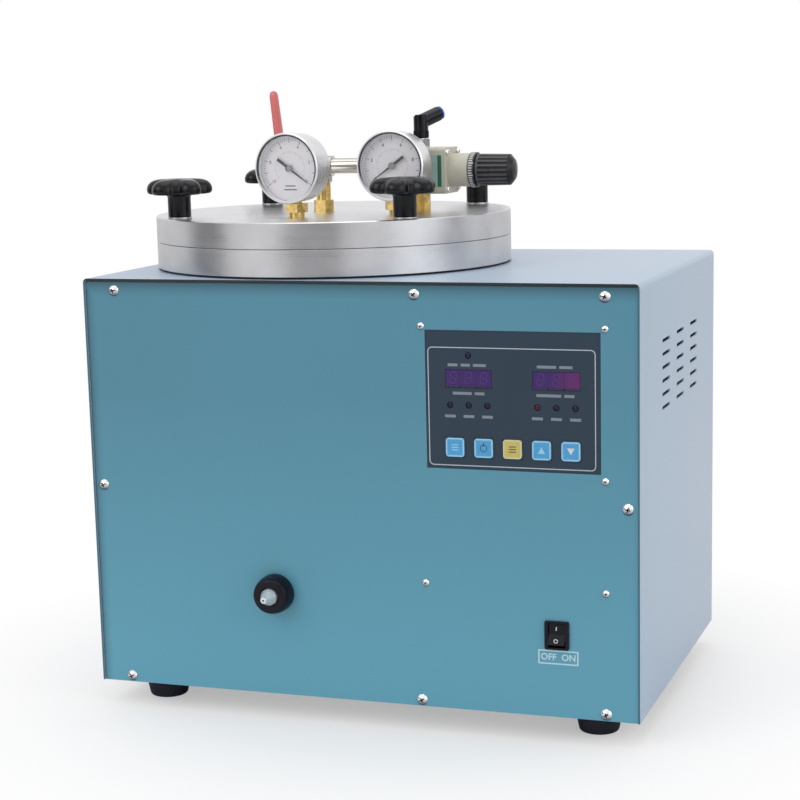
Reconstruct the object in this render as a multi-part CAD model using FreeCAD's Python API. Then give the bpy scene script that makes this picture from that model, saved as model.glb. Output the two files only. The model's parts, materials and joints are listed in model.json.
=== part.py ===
import FreeCAD, Part
import math
import os

# Digital wax injector for jewellery wax: a sheet-metal cabinet that holds a heated
# pressure pot, with the pot's clamped lid, gauges, regulator and vent valve on top.
# Millimetres. +Z up, the front faces -Y, +X is to the right seen from the front.
# The origin is on the resting surface, under the middle of the cabinet.
# A "rise" is a height above the cabinet's bottom or the lid's top, a "drop" is a depth
# below the cabinet's top, and an "inset" is a distance inwards from a face or an edge.

Vec = FreeCAD.Vector

# ---- cabinet ----
CAB_W = 500.0
CAB_D = 336.0
CAB_H = 368.0
SHEET = 1.5
BEND_R = 4.0
PANEL_RECESS = 1.5
PANEL_GAP = 0.4
STRIP_W = 14.0
BASE_T = 2.0
BASE_FLANGE = 22.0
STRIP_CLEAR = 2.0
FOOT_H = 22.0
FOOT_R_TOP = 21.5
FOOT_R_LOW = 17.0
FOOT_ROUND = 3.0
FOOT_INSET_X = 45.0
FOOT_INSET_Y = 43.0
FOOT_STUD_R = 3.0
FOOT_STUD_END = 8.0

# ---- panel screws ----
SCREW_R = 2.5
SCREW_HEAD_R = 4.9
SCREW_HEAD_H = 2.8
SCREW_LENGTH = 10.0
SCREW_TOP_DROP = 10.5
SCREW_LOW_RISE = 5.5
SCREW_MID_RISE = 182.5
SCREW_SIDE_INSET = 29.0
SCREW_EDGE_INSET = 10.0
SCREW_THIRD_INSET = 192.0

# ---- vent slots ----
VENT_LENGTH = 32.0
VENT_HEIGHT = 3.0
VENT_ROWS = 6
VENT_COLUMNS = 3
VENT_ROW_PITCH = 11.6
VENT_COLUMN_PITCH = 62.5
VENT_TOP_DROP = 57.5

# ---- pot and its jacket ----
POT_INSET_X = 174.0
POT_R = 98.0
POT_WALL = 6.0
POT_FLOOR = 8.0
POT_BOTTOM_RISE = 72.0
POT_HOLE_CLEAR = 2.0
POST_R = 6.0
POST_PAD_R = 12.0
POST_PAD_T = 3.0
POST_INSET = 28.0
BAND_RISE = 48.0
BAND_H = 60.0
BAND_T = 3.6
BAND_SLIT = 10.0
EAR_T = 2.0
EAR_REACH = 15.5
CLAMP_SCREW_R = 2.0
CLAMP_HEAD_R = 3.5
CLAMP_HEAD_H = 4.0
JACKET_T = 19.4
JACKET_GAP = 4.0
JACKET_TOP_DROP = 10.5
SENSOR_RISE = 26.0
SENSOR_R = 3.0
SENSOR_DEPTH = 4.0
SENSOR_LENGTH = 24.0
SENSOR_NUT = 12.0

# ---- flange, gasket, seal and lid ----
GASKET_T = 2.0
GASKET_INSET = 1.5
GASKET_POT_GAP = 4.0
FLANGE_R = 164.5
FLANGE_T = 23.3
LID_GAP = 0.4
LID_T = 22.8
LID_SPIGOT_H = 3.0
LID_SPIGOT_GAP = 0.5
RIM_CHAMFER = 0.8
SEAL_R = 120.0
SEAL_CORD_R = 2.05
SEAL_GROOVE_W = 5.0
SEAL_GROOVE_D = 4.0

# ---- star knobs ----
KNOB_OFFSET = 107.0
KNOB_R = 29.5
KNOB_LOBE_R = 9.7
KNOB_WEB_R = 21.8
KNOB_STEM_R = 10.3
KNOB_STEM_H = 21.0
KNOB_SINK = 1.5
KNOB_HEAD_H = 15.8
KNOB_LOBES = 5
KNOB_TURNS = {"front_left": 36.0, "front_right": 0.0, "back_left": 20.0, "back_right": 50.0}
KNOB_FRONT_LOBE = -71.0
STUD_R = 5.0
STUD_GRIP = 15.0
STUD_HOLE_SPARE = 3.0
STUD_TOP_INSET = 4.0
WASHER_R = 10.8
WASHER_T = 1.2

# ---- gauges, placed from the pot's axis ----
GAUGE_R = 31.0
GAUGE_RIM = 2.8
GAUGE_RIM_W = 8.0
GAUGE_BORE_WALL = 2.2
GAUGE_DEPTH = 28.0
GAUGE_FRONT = 18.0
GAUGE_HUB_CLEAR = 12.5
GAUGE_LEFT = (-1.0, -89.0)
GAUGE_RIGHT = (81.3, -54.0)
GAUGE_LEFT_TURN = 5.5
LENS_T = 1.5
DIAL_Y = -10.5
DIAL_T = 0.8
POINTER_TIP = 22.0
POINTER_TAIL = 13.5
POINTER_T = 0.8
POINTER_HUB_R = 3.0
POINTER_SHAFT_R = 0.9
POINTER_DROP = 35.5
GAUGE_HEX = 19.5
GAUGE_NECK_R = 7.0
GAUGE_NECK_H = 5.0
STEM_R = 5.2
STEM_BORE_R = 2.0
BOURDON_R = 19.0
BOURDON_TUBE_R = 2.0

# ---- threads and fittings, placed from the pot's axis ----
THREAD_R = 6.4
PORT_THREAD = 12.0
PORT_SPARE = 1.0
LID_PORT_R = 3.0
RISER_OFFSET = -8.0
PIPE_OFFSET = -5.0
PIPE_RISE = 41.7
PIPE_R = 7.0
PIPE_BORE_R = 4.0
RISER_HEX = 17.0
RISER_HEX_H = 10.5
RISER_R = 6.8
NIPPLE_R = 5.5
NIPPLE_END = 7.0
TEE_DROP = 14.6
TEE_R = 9.4
TEE_BRANCH_R = 8.6
TEE_LEFT = 13.5
TEE_RIGHT = 10.0

# ---- vent valve ----
VALVE_LENGTH = 40.0
VALVE_HEX = 19.0
VALVE_HEX_OUT = 11.0
VALVE_HEX_IN = 9.0
VALVE_R = 8.9
VALVE_BALL_R = 7.0
BALL_SEAT_GAP = 0.1
VALVE_STEM_R = 3.5
STEM_BOSS_R = 5.8
STEM_BOSS_REACH = 12.5
PORT_R = 5.72
PORT_DEPTH = 11.0
LEVER_LENGTH = 69.5
LEVER_WIDTH = 9.0
LEVER_T = 2.0
LEVER_EYE_R = 6.5
LEVER_TILT = 5.9
GRIP_START = 22.0
GRIP_T = 4.8
GRIP_WALL = 0.8
GRIP_ROUND = 3.2
STEM_NUT = 9.0
STEM_NUT_H = 3.2

# ---- regulator, placed from the pot's axis ----
REG_PORT = (89.5, -7.0)
REG_LEFT = 21.5
REG_RIGHT = 28.5
REG_DEPTH = 40.0
REG_HEIGHT = 41.0
REG_ROUND = 3.0
REG_RISE = 37.0
REG_NIPPLE_HEX = 13.6
REG_BORE_R = 2.5
BONNET_R = 14.9
BONNET_LENGTH = 19.4
SCALE_RING_R = 15.7
SCALE_RING_LENGTH = 5.6
NECK_R = 12.0
NECK_LENGTH = 6.0
SKIRT_R = 12.6
SPINDLE_R = 4.0
SPINDLE_FLANGE_R = 6.6
SPINDLE_FLANGE_T = 4.2
SPINDLE_HEX = 7.0
REG_KNOB_R = 14.3
REG_KNOB_LENGTH = 31.4
REG_KNOB_DOME = 4.2
REG_KNOB_RIBS = 20
REG_KNOB_GROOVE_R = 1.4
REG_KNOB_GAP = 0.6

# ---- air inlet elbow ----
TUBE_R = 4.1
ELBOW_TURN = 60.0
ELBOW_LIFT = 18.0
ELBOW_REACH = 21.5
ELBOW_RISE = 80.5
ELBOW_R = 6.7
ELBOW_THREAD = 9.0
ELBOW_HEX = 14.0
ELBOW_HEX_TOP = 15.2
ELBOW_PIVOT_R = 4.0
ELBOW_BORE_R = 2.3
ELBOW_CAP_H = 1.2
COLLET_R = 5.4
COLLET_RIM_R = 6.1
COLLET_RIM_T = 1.8
COLLET_DEPTH = 9.0
COLLET_TRAVEL = 1.0
TUBE_STOP = 15.0

# ---- outlet block and nozzle ----
NOZZLE_RISE = 92.5
NOZZLE_ROD_R = 6.0
NOZZLE_BARREL_R = 7.3
NOZZLE_TIP_R = 2.8
NOZZLE_ORIFICE_R = 1.0
NOZZLE_REACH = 29.0
NOZZLE_TRAVEL = 4.0
NOZZLE_ROD_GRIP = 30.0
SHOULDER_R = 10.0
SHOULDER_T = 2.0
SHOULDER_GAP = 0.4
CROSS_HOLE_R = 1.2
SPRING_COIL_R = 8.9
SPRING_WIRE_R = 0.6
SPRING_TURNS = 5
SPRING_GAP = 0.15
COLLAR_R = 17.2
COLLAR_FRONT_R = 13.2
COLLAR_LENGTH = 16.0
COLLAR_LIP = 3.5
COLLAR_RIM = 5.0
COLLAR_NECK_R = 12.2
COLLAR_NECK_BORE_R = 10.5
COLLAR_NECK_LENGTH = 5.0
BLOCK_HALF = 20.0
BLOCK_DEPTH = 46.0
BLOCK_GAP = 7.0
BOSS_R = 15.0
BOSS_LENGTH = 16.0
SPIGOT_R = 8.0
SPIGOT_LENGTH = 8.0
PASSAGE_R = 3.0
HEATER_R = 4.0
HEATER_OFFSET = 13.0
HEATER_PROUD = 6.0
HEATER_SEAT = 3.0
HEATER_BACK = 20.0
BLOCK_SENSOR_R = 2.0
BLOCK_SENSOR_DEPTH = 8.0
BLOCK_SENSOR_LENGTH = 16.0
BLOCK_SENSOR_DROP = 11.0
BLOCK_SENSOR_BACK = 18.0

# ---- controller ----
CTRL_INSET_X = 107.8
CTRL_DROP = 98.6
OVERLAY_W = 150.0
OVERLAY_H = 117.0
OVERLAY_T = 1.0
BRACKET_SCREW_X = 78.8
BRACKET_SCREW_DROPS = (37.0, 163.0, 258.0)
BRACKET_MARGIN = 7.0
BRACKET_SCREW_R = 1.5
BRACKET_HEAD_R = 3.1
BRACKET_HEAD_H = 1.9
BRACKET_SCREW_LENGTH = 6.0
BOARD_STANDOFF = 7.5
BOARD_STANDOFF_R = 3.5
BOARD_T = 1.6
BOARD_W = 144.0
BOARD_H = 110.0
BOARD_HOLE_INSET = 6.0
KEY_SIZE = 16.0
KEY_ROUND = 2.5
KEY_PITCH = 25.0
KEY_DROP = 40.2
KEY_PROUD = 1.3
KEY_TRAVEL = 0.6
KEY_FLANGE = 1.3
KEY_FLANGE_T = 1.0
KEY_STEM_R = 2.5
KEY_SWITCH_R = 3.0
KEY_SWITCH_H = 3.3
DISPLAY_W = 40.0
DISPLAY_H = 15.0
DISPLAY_OFFSET = 37.7
DISPLAY_LIFT = 17.9
DISPLAY_GAP = 0.2
LED_R = 2.5
LED_PROUD = 0.3
LED_PITCH = 16.2
LED_LOW = 4.4
LED_HIGH = 37.5
RELAY = (19.0, 15.0, 15.0)
RELAY_PITCH = 26.0
RELAY_START = (-40.0, 20.0)
TERMINALS = (90.0, 10.0, 12.0)
TERMINALS_DROP = 42.0
CAPACITOR_R = 7.0
CAPACITOR_H = 22.0
CAPACITOR_SPOT = (48.0, 10.0)

# ---- mains switch ----
SWITCH_INSET_X = 71.1
SWITCH_RISE = 71.7
SWITCH_W = 21.0
SWITCH_H = 24.6
SWITCH_BEZEL_T = 2.0
SWITCH_LIP = (1.1, 1.4)
SWITCH_DEPTH = 25.0
SWITCH_ROUND = 1.5
ROCKER_W = 14.2
ROCKER_HALF = 9.0
ROCKER_SIDE_GAP = 0.4
ROCKER_END_GAP = 1.6
ROCKER_TILT = 12.0
ROCKER_PIVOT_DEPTH = 2.5
ROCKER_PIN_R = 1.2
ROCKER_PIN_LENGTH = 1.2
RECESS_DEPTH = 5.4
BLADE = (4.8, 0.8, 8.0)
BLADE_PITCH = 7.0

# ---- what stands on the base tray ----
TRAFO_INSET_X = 120.0
TRAFO_Y = 60.0
TRAFO_CORE = (76.0, 34.0, 63.0)
TRAFO_LEG = 13.0
TRAFO_YOKE = 13.0
TRAFO_FOOT = 9.0
TRAFO_FOOT_T = 3.0
COIL_OVERHANG = 13.0
COIL_GAP = 0.3
PUMP_INSET_X = 85.0
PUMP_R = 27.0
PUMP_Y = (-88.0, -42.0, 32.0)
PUMP_RISE = 34.0
PUMP_HEAD_HALF = 29.0
PUMP_FOOT = (22.0, -76.0, 24.0, 9.0)
HOSE_STUB_R = 4.0
HOSE_STUB_X = 14.0
HOSE_STUB_LENGTH = 14.0
SOLENOID_INSETS_X = (180.0, 138.0)
SOLENOID_BACK = 15.0
SOLENOID_T = 24.0
SOLENOID_BODY = (32.0, 24.0)
SOLENOID_COIL = (24.0, 36.0)
SOLENOID_STUB_X = 8.0

# ---- rear connections ----
INLET_INSET_X = 60.0
INLET_RISE = 50.0
INLET_W = 27.5
INLET_H = 20.0
INLET_FLANGE = (50.0, 24.0, 2.5)
INLET_DEPTH = 20.0
INLET_CAVITY = (24.0, 16.6, 14.0)
PIN_SPOTS = ((-7.0, 1.5, 2.0, 4.0), (7.0, 1.5, 2.0, 4.0), (0.0, 5.5, 4.0, 2.0))
PIN_TAIL = 28.0
AIR_PORT_INSETS_X = (100.0, 140.0)
AIR_PORT_RISE = 50.0
AIR_PORT_DEPTH = 16.0
AIR_PORT_HEX = 17.0
AIR_PORT_HEX_T = 6.0
AIR_PORT_R = 7.4
AIR_PORT_PROUD = 18.0
AIR_PORT_INSIDE = 10.0
AIR_PORT_BORE_R = 2.5

# ---- clearances; PAST is how far a cutting tool runs past what it cuts ----
RUNNING = 0.05
THREAD_FIT = 0.05
STUD_FIT = 0.08
BODY_GAP = 0.3
SEAT_GAP = 0.2
HOLE_GAP = 0.25
PAST = 1.0

# ---- places worked out from the sizes above ----
LEFT_X = -CAB_W / 2
RIGHT_X = CAB_W / 2
FRONT_Y = -CAB_D / 2
BACK_Y = CAB_D / 2
CAB_Z0 = FOOT_H
CAB_Z1 = FOOT_H + CAB_H
INNER_X = CAB_W / 2 - SHEET
PANEL_FACE = FRONT_Y + PANEL_RECESS
PANEL_BACK = PANEL_FACE + SHEET
BASE_TOP = CAB_Z0 + BASE_T
BLOCK_Y0 = PANEL_BACK + BLOCK_GAP
OUTLET_FACE = BLOCK_Y0 + BLOCK_DEPTH
POT_X = LEFT_X + POT_INSET_X
POT_Y = OUTLET_FACE + BOSS_LENGTH + POT_R
POT_BORE_R = POT_R - POT_WALL
POT_Z0 = CAB_Z0 + POT_BOTTOM_RISE
BAND_Z0 = POT_Z0 + BAND_RISE
SENSOR_Z = POT_Z0 + SENSOR_RISE
FLANGE_Z0 = CAB_Z1 + GASKET_T
FLANGE_Z1 = FLANGE_Z0 + FLANGE_T
LID_Z0 = FLANGE_Z1 + LID_GAP
LID_Z1 = LID_Z0 + LID_T
CASE_R = GAUGE_R - 1.0
CASE_BORE = GAUGE_R - GAUGE_BORE_WALL
GAUGE_BACK = GAUGE_DEPTH - GAUGE_FRONT
GAUGE_HUB_RISE = GAUGE_R + GAUGE_HUB_CLEAR
LENS_Y = 1.7 - GAUGE_FRONT
RISER_X = POT_X + RISER_OFFSET
PIPE_Y = POT_Y + PIPE_OFFSET
PIPE_Z = LID_Z1 + PIPE_RISE
TEE_X = (RISER_X - TEE_LEFT, RISER_X + TEE_RIGHT)
VALVE_X = (TEE_X[0] - VALVE_LENGTH, TEE_X[0])
PIVOT_X = TEE_X[0] - VALVE_LENGTH / 2
BOSS_Y = PIPE_Y - STEM_BOSS_REACH
BLADE_Y = BOSS_Y - 2.0 - LEVER_T
REG_PORT_X = POT_X + REG_PORT[0]
REG_Y = POT_Y + REG_PORT[1]
REG_X = (REG_PORT_X - REG_LEFT, REG_PORT_X + REG_RIGHT)
REG_Z = LID_Z1 + REG_RISE
BONNET_END = REG_X[1] + BONNET_LENGTH
SPINDLE_START = REG_X[1] + 4.3
RING_END = BONNET_END + SCALE_RING_LENGTH
KNOB_X0 = RING_END + REG_KNOB_GAP
KNOB_X1 = KNOB_X0 + REG_KNOB_LENGTH
ELBOW_Z = LID_Z1 + ELBOW_RISE
NOZZLE_Z = CAB_Z0 + NOZZLE_RISE
NOZZLE_TIP_Y = PANEL_FACE - NOZZLE_REACH
NOZZLE_ROD_END = BLOCK_Y0 + NOZZLE_ROD_GRIP
COLLAR_FACE = PANEL_FACE - COLLAR_LENGTH
SHOULDER_Y = COLLAR_FACE + COLLAR_LIP + SHOULDER_GAP
CTRL_X = RIGHT_X - CTRL_INSET_X
CTRL_Z = CAB_Z1 - CTRL_DROP
BOARD_Y = PANEL_BACK + SHEET + BOARD_STANDOFF
SWITCH_X = RIGHT_X - SWITCH_INSET_X
SWITCH_Z = CAB_Z0 + SWITCH_RISE
SWITCH_BODY_Y = PANEL_FACE + SWITCH_DEPTH
PIVOT_Y = PANEL_FACE + ROCKER_PIVOT_DEPTH
INLET_X = RIGHT_X - INLET_INSET_X
INLET_Z = CAB_Z0 + INLET_RISE
AIR_PORT_X = tuple(LEFT_X + inset for inset in AIR_PORT_INSETS_X)
AIR_PORT_Z = CAB_Z0 + AIR_PORT_RISE


# ---- helpers ----
def box(x, y, z):
    """A box from three (low, high) pairs."""
    return Part.makeBox(x[1] - x[0], y[1] - y[0], z[1] - z[0], Vec(x[0], y[0], z[0]))


def rod(radius, start, end):
    """A cylinder between two points."""
    a, b = Vec(*start), Vec(*end)
    return Part.makeCylinder(radius, (b - a).Length, a, b - a)


def tube(outer, inner, start, end):
    """A cylinder between two points with a bore through it."""
    return rod(outer, start, end).cut(rod(inner, start, end))


def hex_bar(across_flats, start, end, turn=0.0):
    """A hexagonal bar between two points; turn rolls it about its own axis, in degrees."""
    a, b = Vec(*start), Vec(*end)
    corner_r = across_flats / math.sqrt(3)
    spots = []
    for i in range(7):
        angle = math.radians(60 * i + turn)
        spots.append(Vec(corner_r * math.cos(angle), corner_r * math.sin(angle), 0))
    bar = Part.Face(Part.makePolygon(spots)).extrude(Vec(0, 0, (b - a).Length))
    bar.Placement = FreeCAD.Placement(a, FreeCAD.Rotation(Vec(0, 0, 1), b - a))
    return bar


def spun(points, origin, axis):
    """A solid of revolution about axis through origin, from (radius, distance) points."""
    a = Vec(*axis)
    spots = [Vec(r, 0, d) for r, d in points]
    face = Part.Face(Part.makePolygon(spots + spots[:1]))
    shape = face.revolve(Vec(0, 0, 0), Vec(0, 0, 1), 360)
    shape.Placement = FreeCAD.Placement(Vec(*origin), FreeCAD.Rotation(Vec(0, 0, 1), a))
    return shape


def plate(x, y, z, radius):
    """A flat plate in the XZ plane with its four corners rounded."""
    body = box(x, y, z)
    edges = [e for e in body.Edges if abs(e.tangentAt(e.FirstParameter).y) > 0.99]
    return body.makeFillet(radius, edges)


def turned(shape, origin, axis, degrees):
    """The shape turned about an axis through origin."""
    shape.rotate(Vec(*origin), Vec(*axis), degrees)
    return shape


def moved(shape, step):
    """The shape moved by step."""
    shape.translate(Vec(*step))
    return shape


def cut_all(shape, tools):
    """The shape with each tool taken away."""
    for tool in tools:
        shape = shape.cut(tool)
    return shape


def fuse_all(shapes):
    """One solid of the shapes, with the seams between flat neighbours removed."""
    whole = shapes[0]
    for shape in shapes[1:]:
        whole = whole.fuse(shape)
    return whole.removeSplitter()


NODES = {}


def keep(name, *shapes):
    """Store a sub-part: one solid, or a group of separate solids."""
    NODES[name] = shapes[0] if len(shapes) == 1 else Part.makeCompound(list(shapes))


# ---- cabinet ----
def screw_spots():
    """(x, z) of the eight screws of a panel, seen from its own front."""
    side = CAB_W / 2 - SCREW_SIDE_INSET
    edge = CAB_W / 2 - SCREW_EDGE_INSET
    spots = []
    for z in (CAB_Z1 - SCREW_TOP_DROP, CAB_Z0 + SCREW_LOW_RISE):
        for x in (-side, RIGHT_X - SCREW_THIRD_INSET, side):
            spots.append((x, z))
    for x in (-edge, edge):
        spots.append((x, CAB_Z0 + SCREW_MID_RISE))
    return spots


def screw_holes(radius):
    """Bars that cut the panel screws' holes at the front and the back."""
    bars = []
    for x, z in screw_spots():
        bars.append(rod(radius, (x, FRONT_Y, z), (x, PANEL_BACK + STRIP_W, z)))
        bars.append(rod(radius, (x, -PANEL_BACK - STRIP_W, z), (x, BACK_Y, z)))
    return bars


def arch(inset, y, low):
    """The cabinet's cross-section, inset from its faces, with rounded top edges."""
    body = box((inset - CAB_W / 2, CAB_W / 2 - inset), y, (low, CAB_Z1 - inset))
    top_edges = []
    for edge in body.Edges:
        middle = edge.CenterOfMass
        along_y = abs(edge.tangentAt(edge.FirstParameter).y) > 0.99
        if along_y and middle.z > CAB_Z1 - inset - 1:
            top_edges.append(edge)
    return body.makeFillet(max(BEND_R - inset, 0.5), top_edges)


def vent_slots(side):
    """Bars that cut the vent slots in the wall on one side."""
    bars = []
    half = (VENT_LENGTH - VENT_HEIGHT) / 2
    x = (side * CAB_W / 2 - 2 * SHEET, side * CAB_W / 2 + 2 * SHEET)
    for column in range(VENT_COLUMNS):
        y = POT_Y + (column - (VENT_COLUMNS - 1) / 2) * VENT_COLUMN_PITCH
        for row in range(VENT_ROWS):
            z = CAB_Z1 - VENT_TOP_DROP - row * VENT_ROW_PITCH
            slot = box(x, (y - half, y + half), (z - VENT_HEIGHT / 2, z + VENT_HEIGHT / 2))
            for end in (-half, half):
                slot = slot.fuse(rod(VENT_HEIGHT / 2, (x[0], y + end, z), (x[1], y + end, z)))
            bars.append(slot)
    return bars


def make_outer_shell():
    """Folded cover: top and both sides, with an inner strip behind each panel."""
    full_y = (FRONT_Y, BACK_Y)
    shell = arch(0, full_y, CAB_Z0).cut(arch(SHEET, full_y, CAB_Z0 - 1))
    strip_low = BASE_TOP + BASE_FLANGE + STRIP_CLEAR
    for y in ((PANEL_BACK, PANEL_BACK + SHEET), (-PANEL_BACK - SHEET, -PANEL_BACK)):
        strip = arch(SHEET, y, strip_low).cut(arch(SHEET + STRIP_W, y, strip_low - 1))
        shell = shell.fuse(strip)
    hole_r = POT_R + POT_HOLE_CLEAR
    pot_hole = rod(hole_r, (POT_X, POT_Y, CAB_Z1 - STRIP_W), (POT_X, POT_Y, CAB_Z1 + PAST))
    tools = [pot_hole] + vent_slots(1) + vent_slots(-1) + screw_holes(SCREW_R + THREAD_FIT)
    keep("outer_shell", cut_all(shell, tools).removeSplitter())


def foot_spots():
    """(x, y) of the four feet."""
    x = RIGHT_X - FOOT_INSET_X
    y = BACK_Y - FOOT_INSET_Y
    return [(-x, -y), (x, -y), (-x, y), (x, y)]


def make_base_plate():
    """Base tray with upturned edges and three welded posts that carry the pot."""
    half_x = INNER_X - PANEL_GAP
    half_y = -PANEL_BACK
    top = CAB_Z0 + BASE_FLANGE
    tray = box((-half_x, half_x), (-half_y, half_y), (CAB_Z0, top))
    inside = box(
        (SHEET - half_x, half_x - SHEET), (SHEET - half_y, half_y - SHEET), (BASE_TOP, top + 1)
    )
    parts = [tray.cut(inside)]
    for i in range(3):
        angle = math.radians(90 + 120 * i)
        x = POT_X + (POT_R - POST_INSET) * math.cos(angle)
        y = POT_Y + (POT_R - POST_INSET) * math.sin(angle)
        parts.append(rod(POST_R, (x, y, CAB_Z0 + 1), (x, y, POT_Z0)))
        parts.append(rod(POST_PAD_R, (x, y, CAB_Z0 + 1), (x, y, BASE_TOP + POST_PAD_T)))
    base = fuse_all(parts)
    holes = screw_holes(SCREW_R + THREAD_FIT)
    for x, y in foot_spots():
        holes.append(rod(FOOT_STUD_R + HOLE_GAP, (x, y, CAB_Z0 - 1), (x, y, BASE_TOP + 1)))
    keep("base_plate", cut_all(base, holes))


def make_rubber_feet():
    """Tapered rubber feet, each with a moulded-in stud through the base tray."""
    feet = []
    for x, y in foot_spots():
        body = spun(
            [(0, 0), (FOOT_R_LOW, 0), (FOOT_R_TOP, FOOT_H), (0, FOOT_H)], (x, y, 0), (0, 0, 1)
        )
        rim = [e for e in body.Edges if e.CenterOfMass.z < 0.1 and e.Length > 50]
        body = body.makeFillet(FOOT_ROUND, rim)
        stud = rod(FOOT_STUD_R, (x, y, FOOT_H / 2), (x, y, BASE_TOP + FOOT_STUD_END))
        feet.append(body.fuse(stud).removeSplitter())
    keep("rubber_feet", *feet)


def panel_blank(y):
    """A front or rear panel with rounded top corners and its screw holes."""
    body = arch(SHEET + PANEL_GAP, y, CAB_Z0)
    return cut_all(body, screw_holes(SCREW_R + HOLE_GAP))


def make_front_panel():
    """Front panel with the window for the controller and holes for nozzle and switch."""
    y = (PANEL_FACE, PANEL_BACK)
    cut_y = (PANEL_FACE - 1, PANEL_BACK + 1)
    half_w = OVERLAY_W / 2 + HOLE_GAP
    half_h = OVERLAY_H / 2 + HOLE_GAP
    tools = [
        box((CTRL_X - half_w, CTRL_X + half_w), cut_y, (CTRL_Z - half_h, CTRL_Z + half_h)),
        rod(COLLAR_NECK_R + HOLE_GAP, (POT_X, cut_y[0], NOZZLE_Z), (POT_X, cut_y[1], NOZZLE_Z)),
        switch_block(HOLE_GAP, cut_y),
    ]
    for x, z in bracket_screw_spots():
        tools.append(rod(BRACKET_SCREW_R + HOLE_GAP, (x, cut_y[0], z), (x, cut_y[1], z)))
    keep("front_panel", cut_all(panel_blank(y), tools))


def make_rear_panel():
    """Rear panel with the cut-outs for the mains inlet and the two air ports."""
    y = (-PANEL_BACK, -PANEL_FACE)
    cut_y = (y[0] - 1, y[1] + 1)
    inlet = box(
        (INLET_X - INLET_W / 2 - HOLE_GAP, INLET_X + INLET_W / 2 + HOLE_GAP),
        cut_y,
        (INLET_Z - INLET_H / 2 - HOLE_GAP, INLET_Z + INLET_H / 2 + HOLE_GAP),
    )
    tools = [inlet]
    for x in AIR_PORT_X:
        tools.append(rod(THREAD_R + HOLE_GAP, (x, cut_y[0], AIR_PORT_Z), (x, cut_y[1], AIR_PORT_Z)))
    keep("rear_panel", cut_all(panel_blank(y), tools))


def pan_screw(radius, head_r, head_h, length):
    """A domed cross-recess screw: the head's seat is at the origin, the shank runs to +Y."""
    dome_r = (head_r**2 + head_h**2) / (2 * head_h)
    ball = Part.makeSphere(dome_r, Vec(0, dome_r - head_h, 0))
    head = ball.common(rod(head_r, (0, -head_h - 1, 0), (0, 0, 0)))
    screw = head.fuse(rod(radius, (0, -0.5, 0), (0, length, 0))).removeSplitter()
    arm = head_r * 0.55
    depth = (-head_h - 1, -head_h * 0.35)
    width = head_r * 0.11
    screw = screw.cut(box((-arm, arm), depth, (-width, width)))
    return screw.cut(box((-width, width), depth, (-arm, arm)))


def make_panel_screws():
    """Sixteen screws that hold the front and rear panels."""
    screws = []
    for x, z in screw_spots():
        front = pan_screw(SCREW_R, SCREW_HEAD_R, SCREW_HEAD_H, SCREW_LENGTH)
        screws.append(moved(front, (x, PANEL_FACE, z)))
        back = pan_screw(SCREW_R, SCREW_HEAD_R, SCREW_HEAD_H, SCREW_LENGTH)
        back = turned(back, (0, 0, 0), (0, 0, 1), 180)
        screws.append(moved(back, (x, -PANEL_FACE, z)))
    keep("panel_screws", *screws)


# ---- pot and what surrounds it ----
def knob_spots():
    """Name and (x, y) of each of the four lid knobs."""
    spots = {}
    for row, sy in (("front", -1), ("back", 1)):
        for side, sx in (("left", -1), ("right", 1)):
            spots[row + "_" + side] = (POT_X + sx * KNOB_OFFSET, POT_Y + sy * KNOB_OFFSET)
    return spots


def make_wax_pot():
    """Cast pot with its machined flange, seal groove, stud holes and outlet boss."""
    floor_z = POT_Z0 + POT_FLOOR
    pot = spun(
        [
            (0, POT_Z0),
            (POT_R, POT_Z0),
            (POT_R, FLANGE_Z0),
            (FLANGE_R, FLANGE_Z0),
            (FLANGE_R, FLANGE_Z1 - RIM_CHAMFER / 2),
            (FLANGE_R - RIM_CHAMFER / 2, FLANGE_Z1),
            (POT_BORE_R, FLANGE_Z1),
            (POT_BORE_R, floor_z),
            (0, floor_z),
        ],
        (POT_X, POT_Y, 0),
        (0, 0, 1),
    )
    boss_root = POT_Y - POT_R + POT_WALL / 2
    boss = rod(BOSS_R, on_nozzle_axis(OUTLET_FACE), on_nozzle_axis(boss_root))
    pot = pot.fuse(boss)
    groove = tube(
        SEAL_R + SEAL_GROOVE_W / 2,
        SEAL_R - SEAL_GROOVE_W / 2,
        (POT_X, POT_Y, FLANGE_Z1 - SEAL_GROOVE_D),
        (POT_X, POT_Y, FLANGE_Z1 + 1),
    )
    spigot_hole = rod(
        SPIGOT_R + THREAD_FIT,
        on_nozzle_axis(OUTLET_FACE - PAST),
        on_nozzle_axis(OUTLET_FACE + SPIGOT_LENGTH + SEAT_GAP),
    )
    passage_end = POT_Y - POT_BORE_R + POT_WALL
    passage = rod(PASSAGE_R, on_nozzle_axis(OUTLET_FACE), on_nozzle_axis(passage_end))
    wall_x = POT_X + POT_R
    sensor_hole = rod(
        SENSOR_R + THREAD_FIT,
        (wall_x - SENSOR_DEPTH, POT_Y, SENSOR_Z),
        (wall_x + PAST, POT_Y, SENSOR_Z),
    )
    tools = [groove, spigot_hole, passage, sensor_hole]
    for x, y in knob_spots().values():
        hole_low = FLANGE_Z1 - STUD_GRIP - STUD_HOLE_SPARE
        tools.append(rod(STUD_R + STUD_FIT, (x, y, hole_low), (x, y, FLANGE_Z1 + PAST)))
    keep("wax_pot", cut_all(pot, tools))


def make_flange_gasket():
    """Flat gasket between the cabinet top and the pot's flange."""
    low, high = (POT_X, POT_Y, CAB_Z1), (POT_X, POT_Y, FLANGE_Z0)
    outer, inner = FLANGE_R - GASKET_INSET, POT_R + GASKET_POT_GAP
    keep("flange_gasket", tube(outer, inner, low, high))


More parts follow.
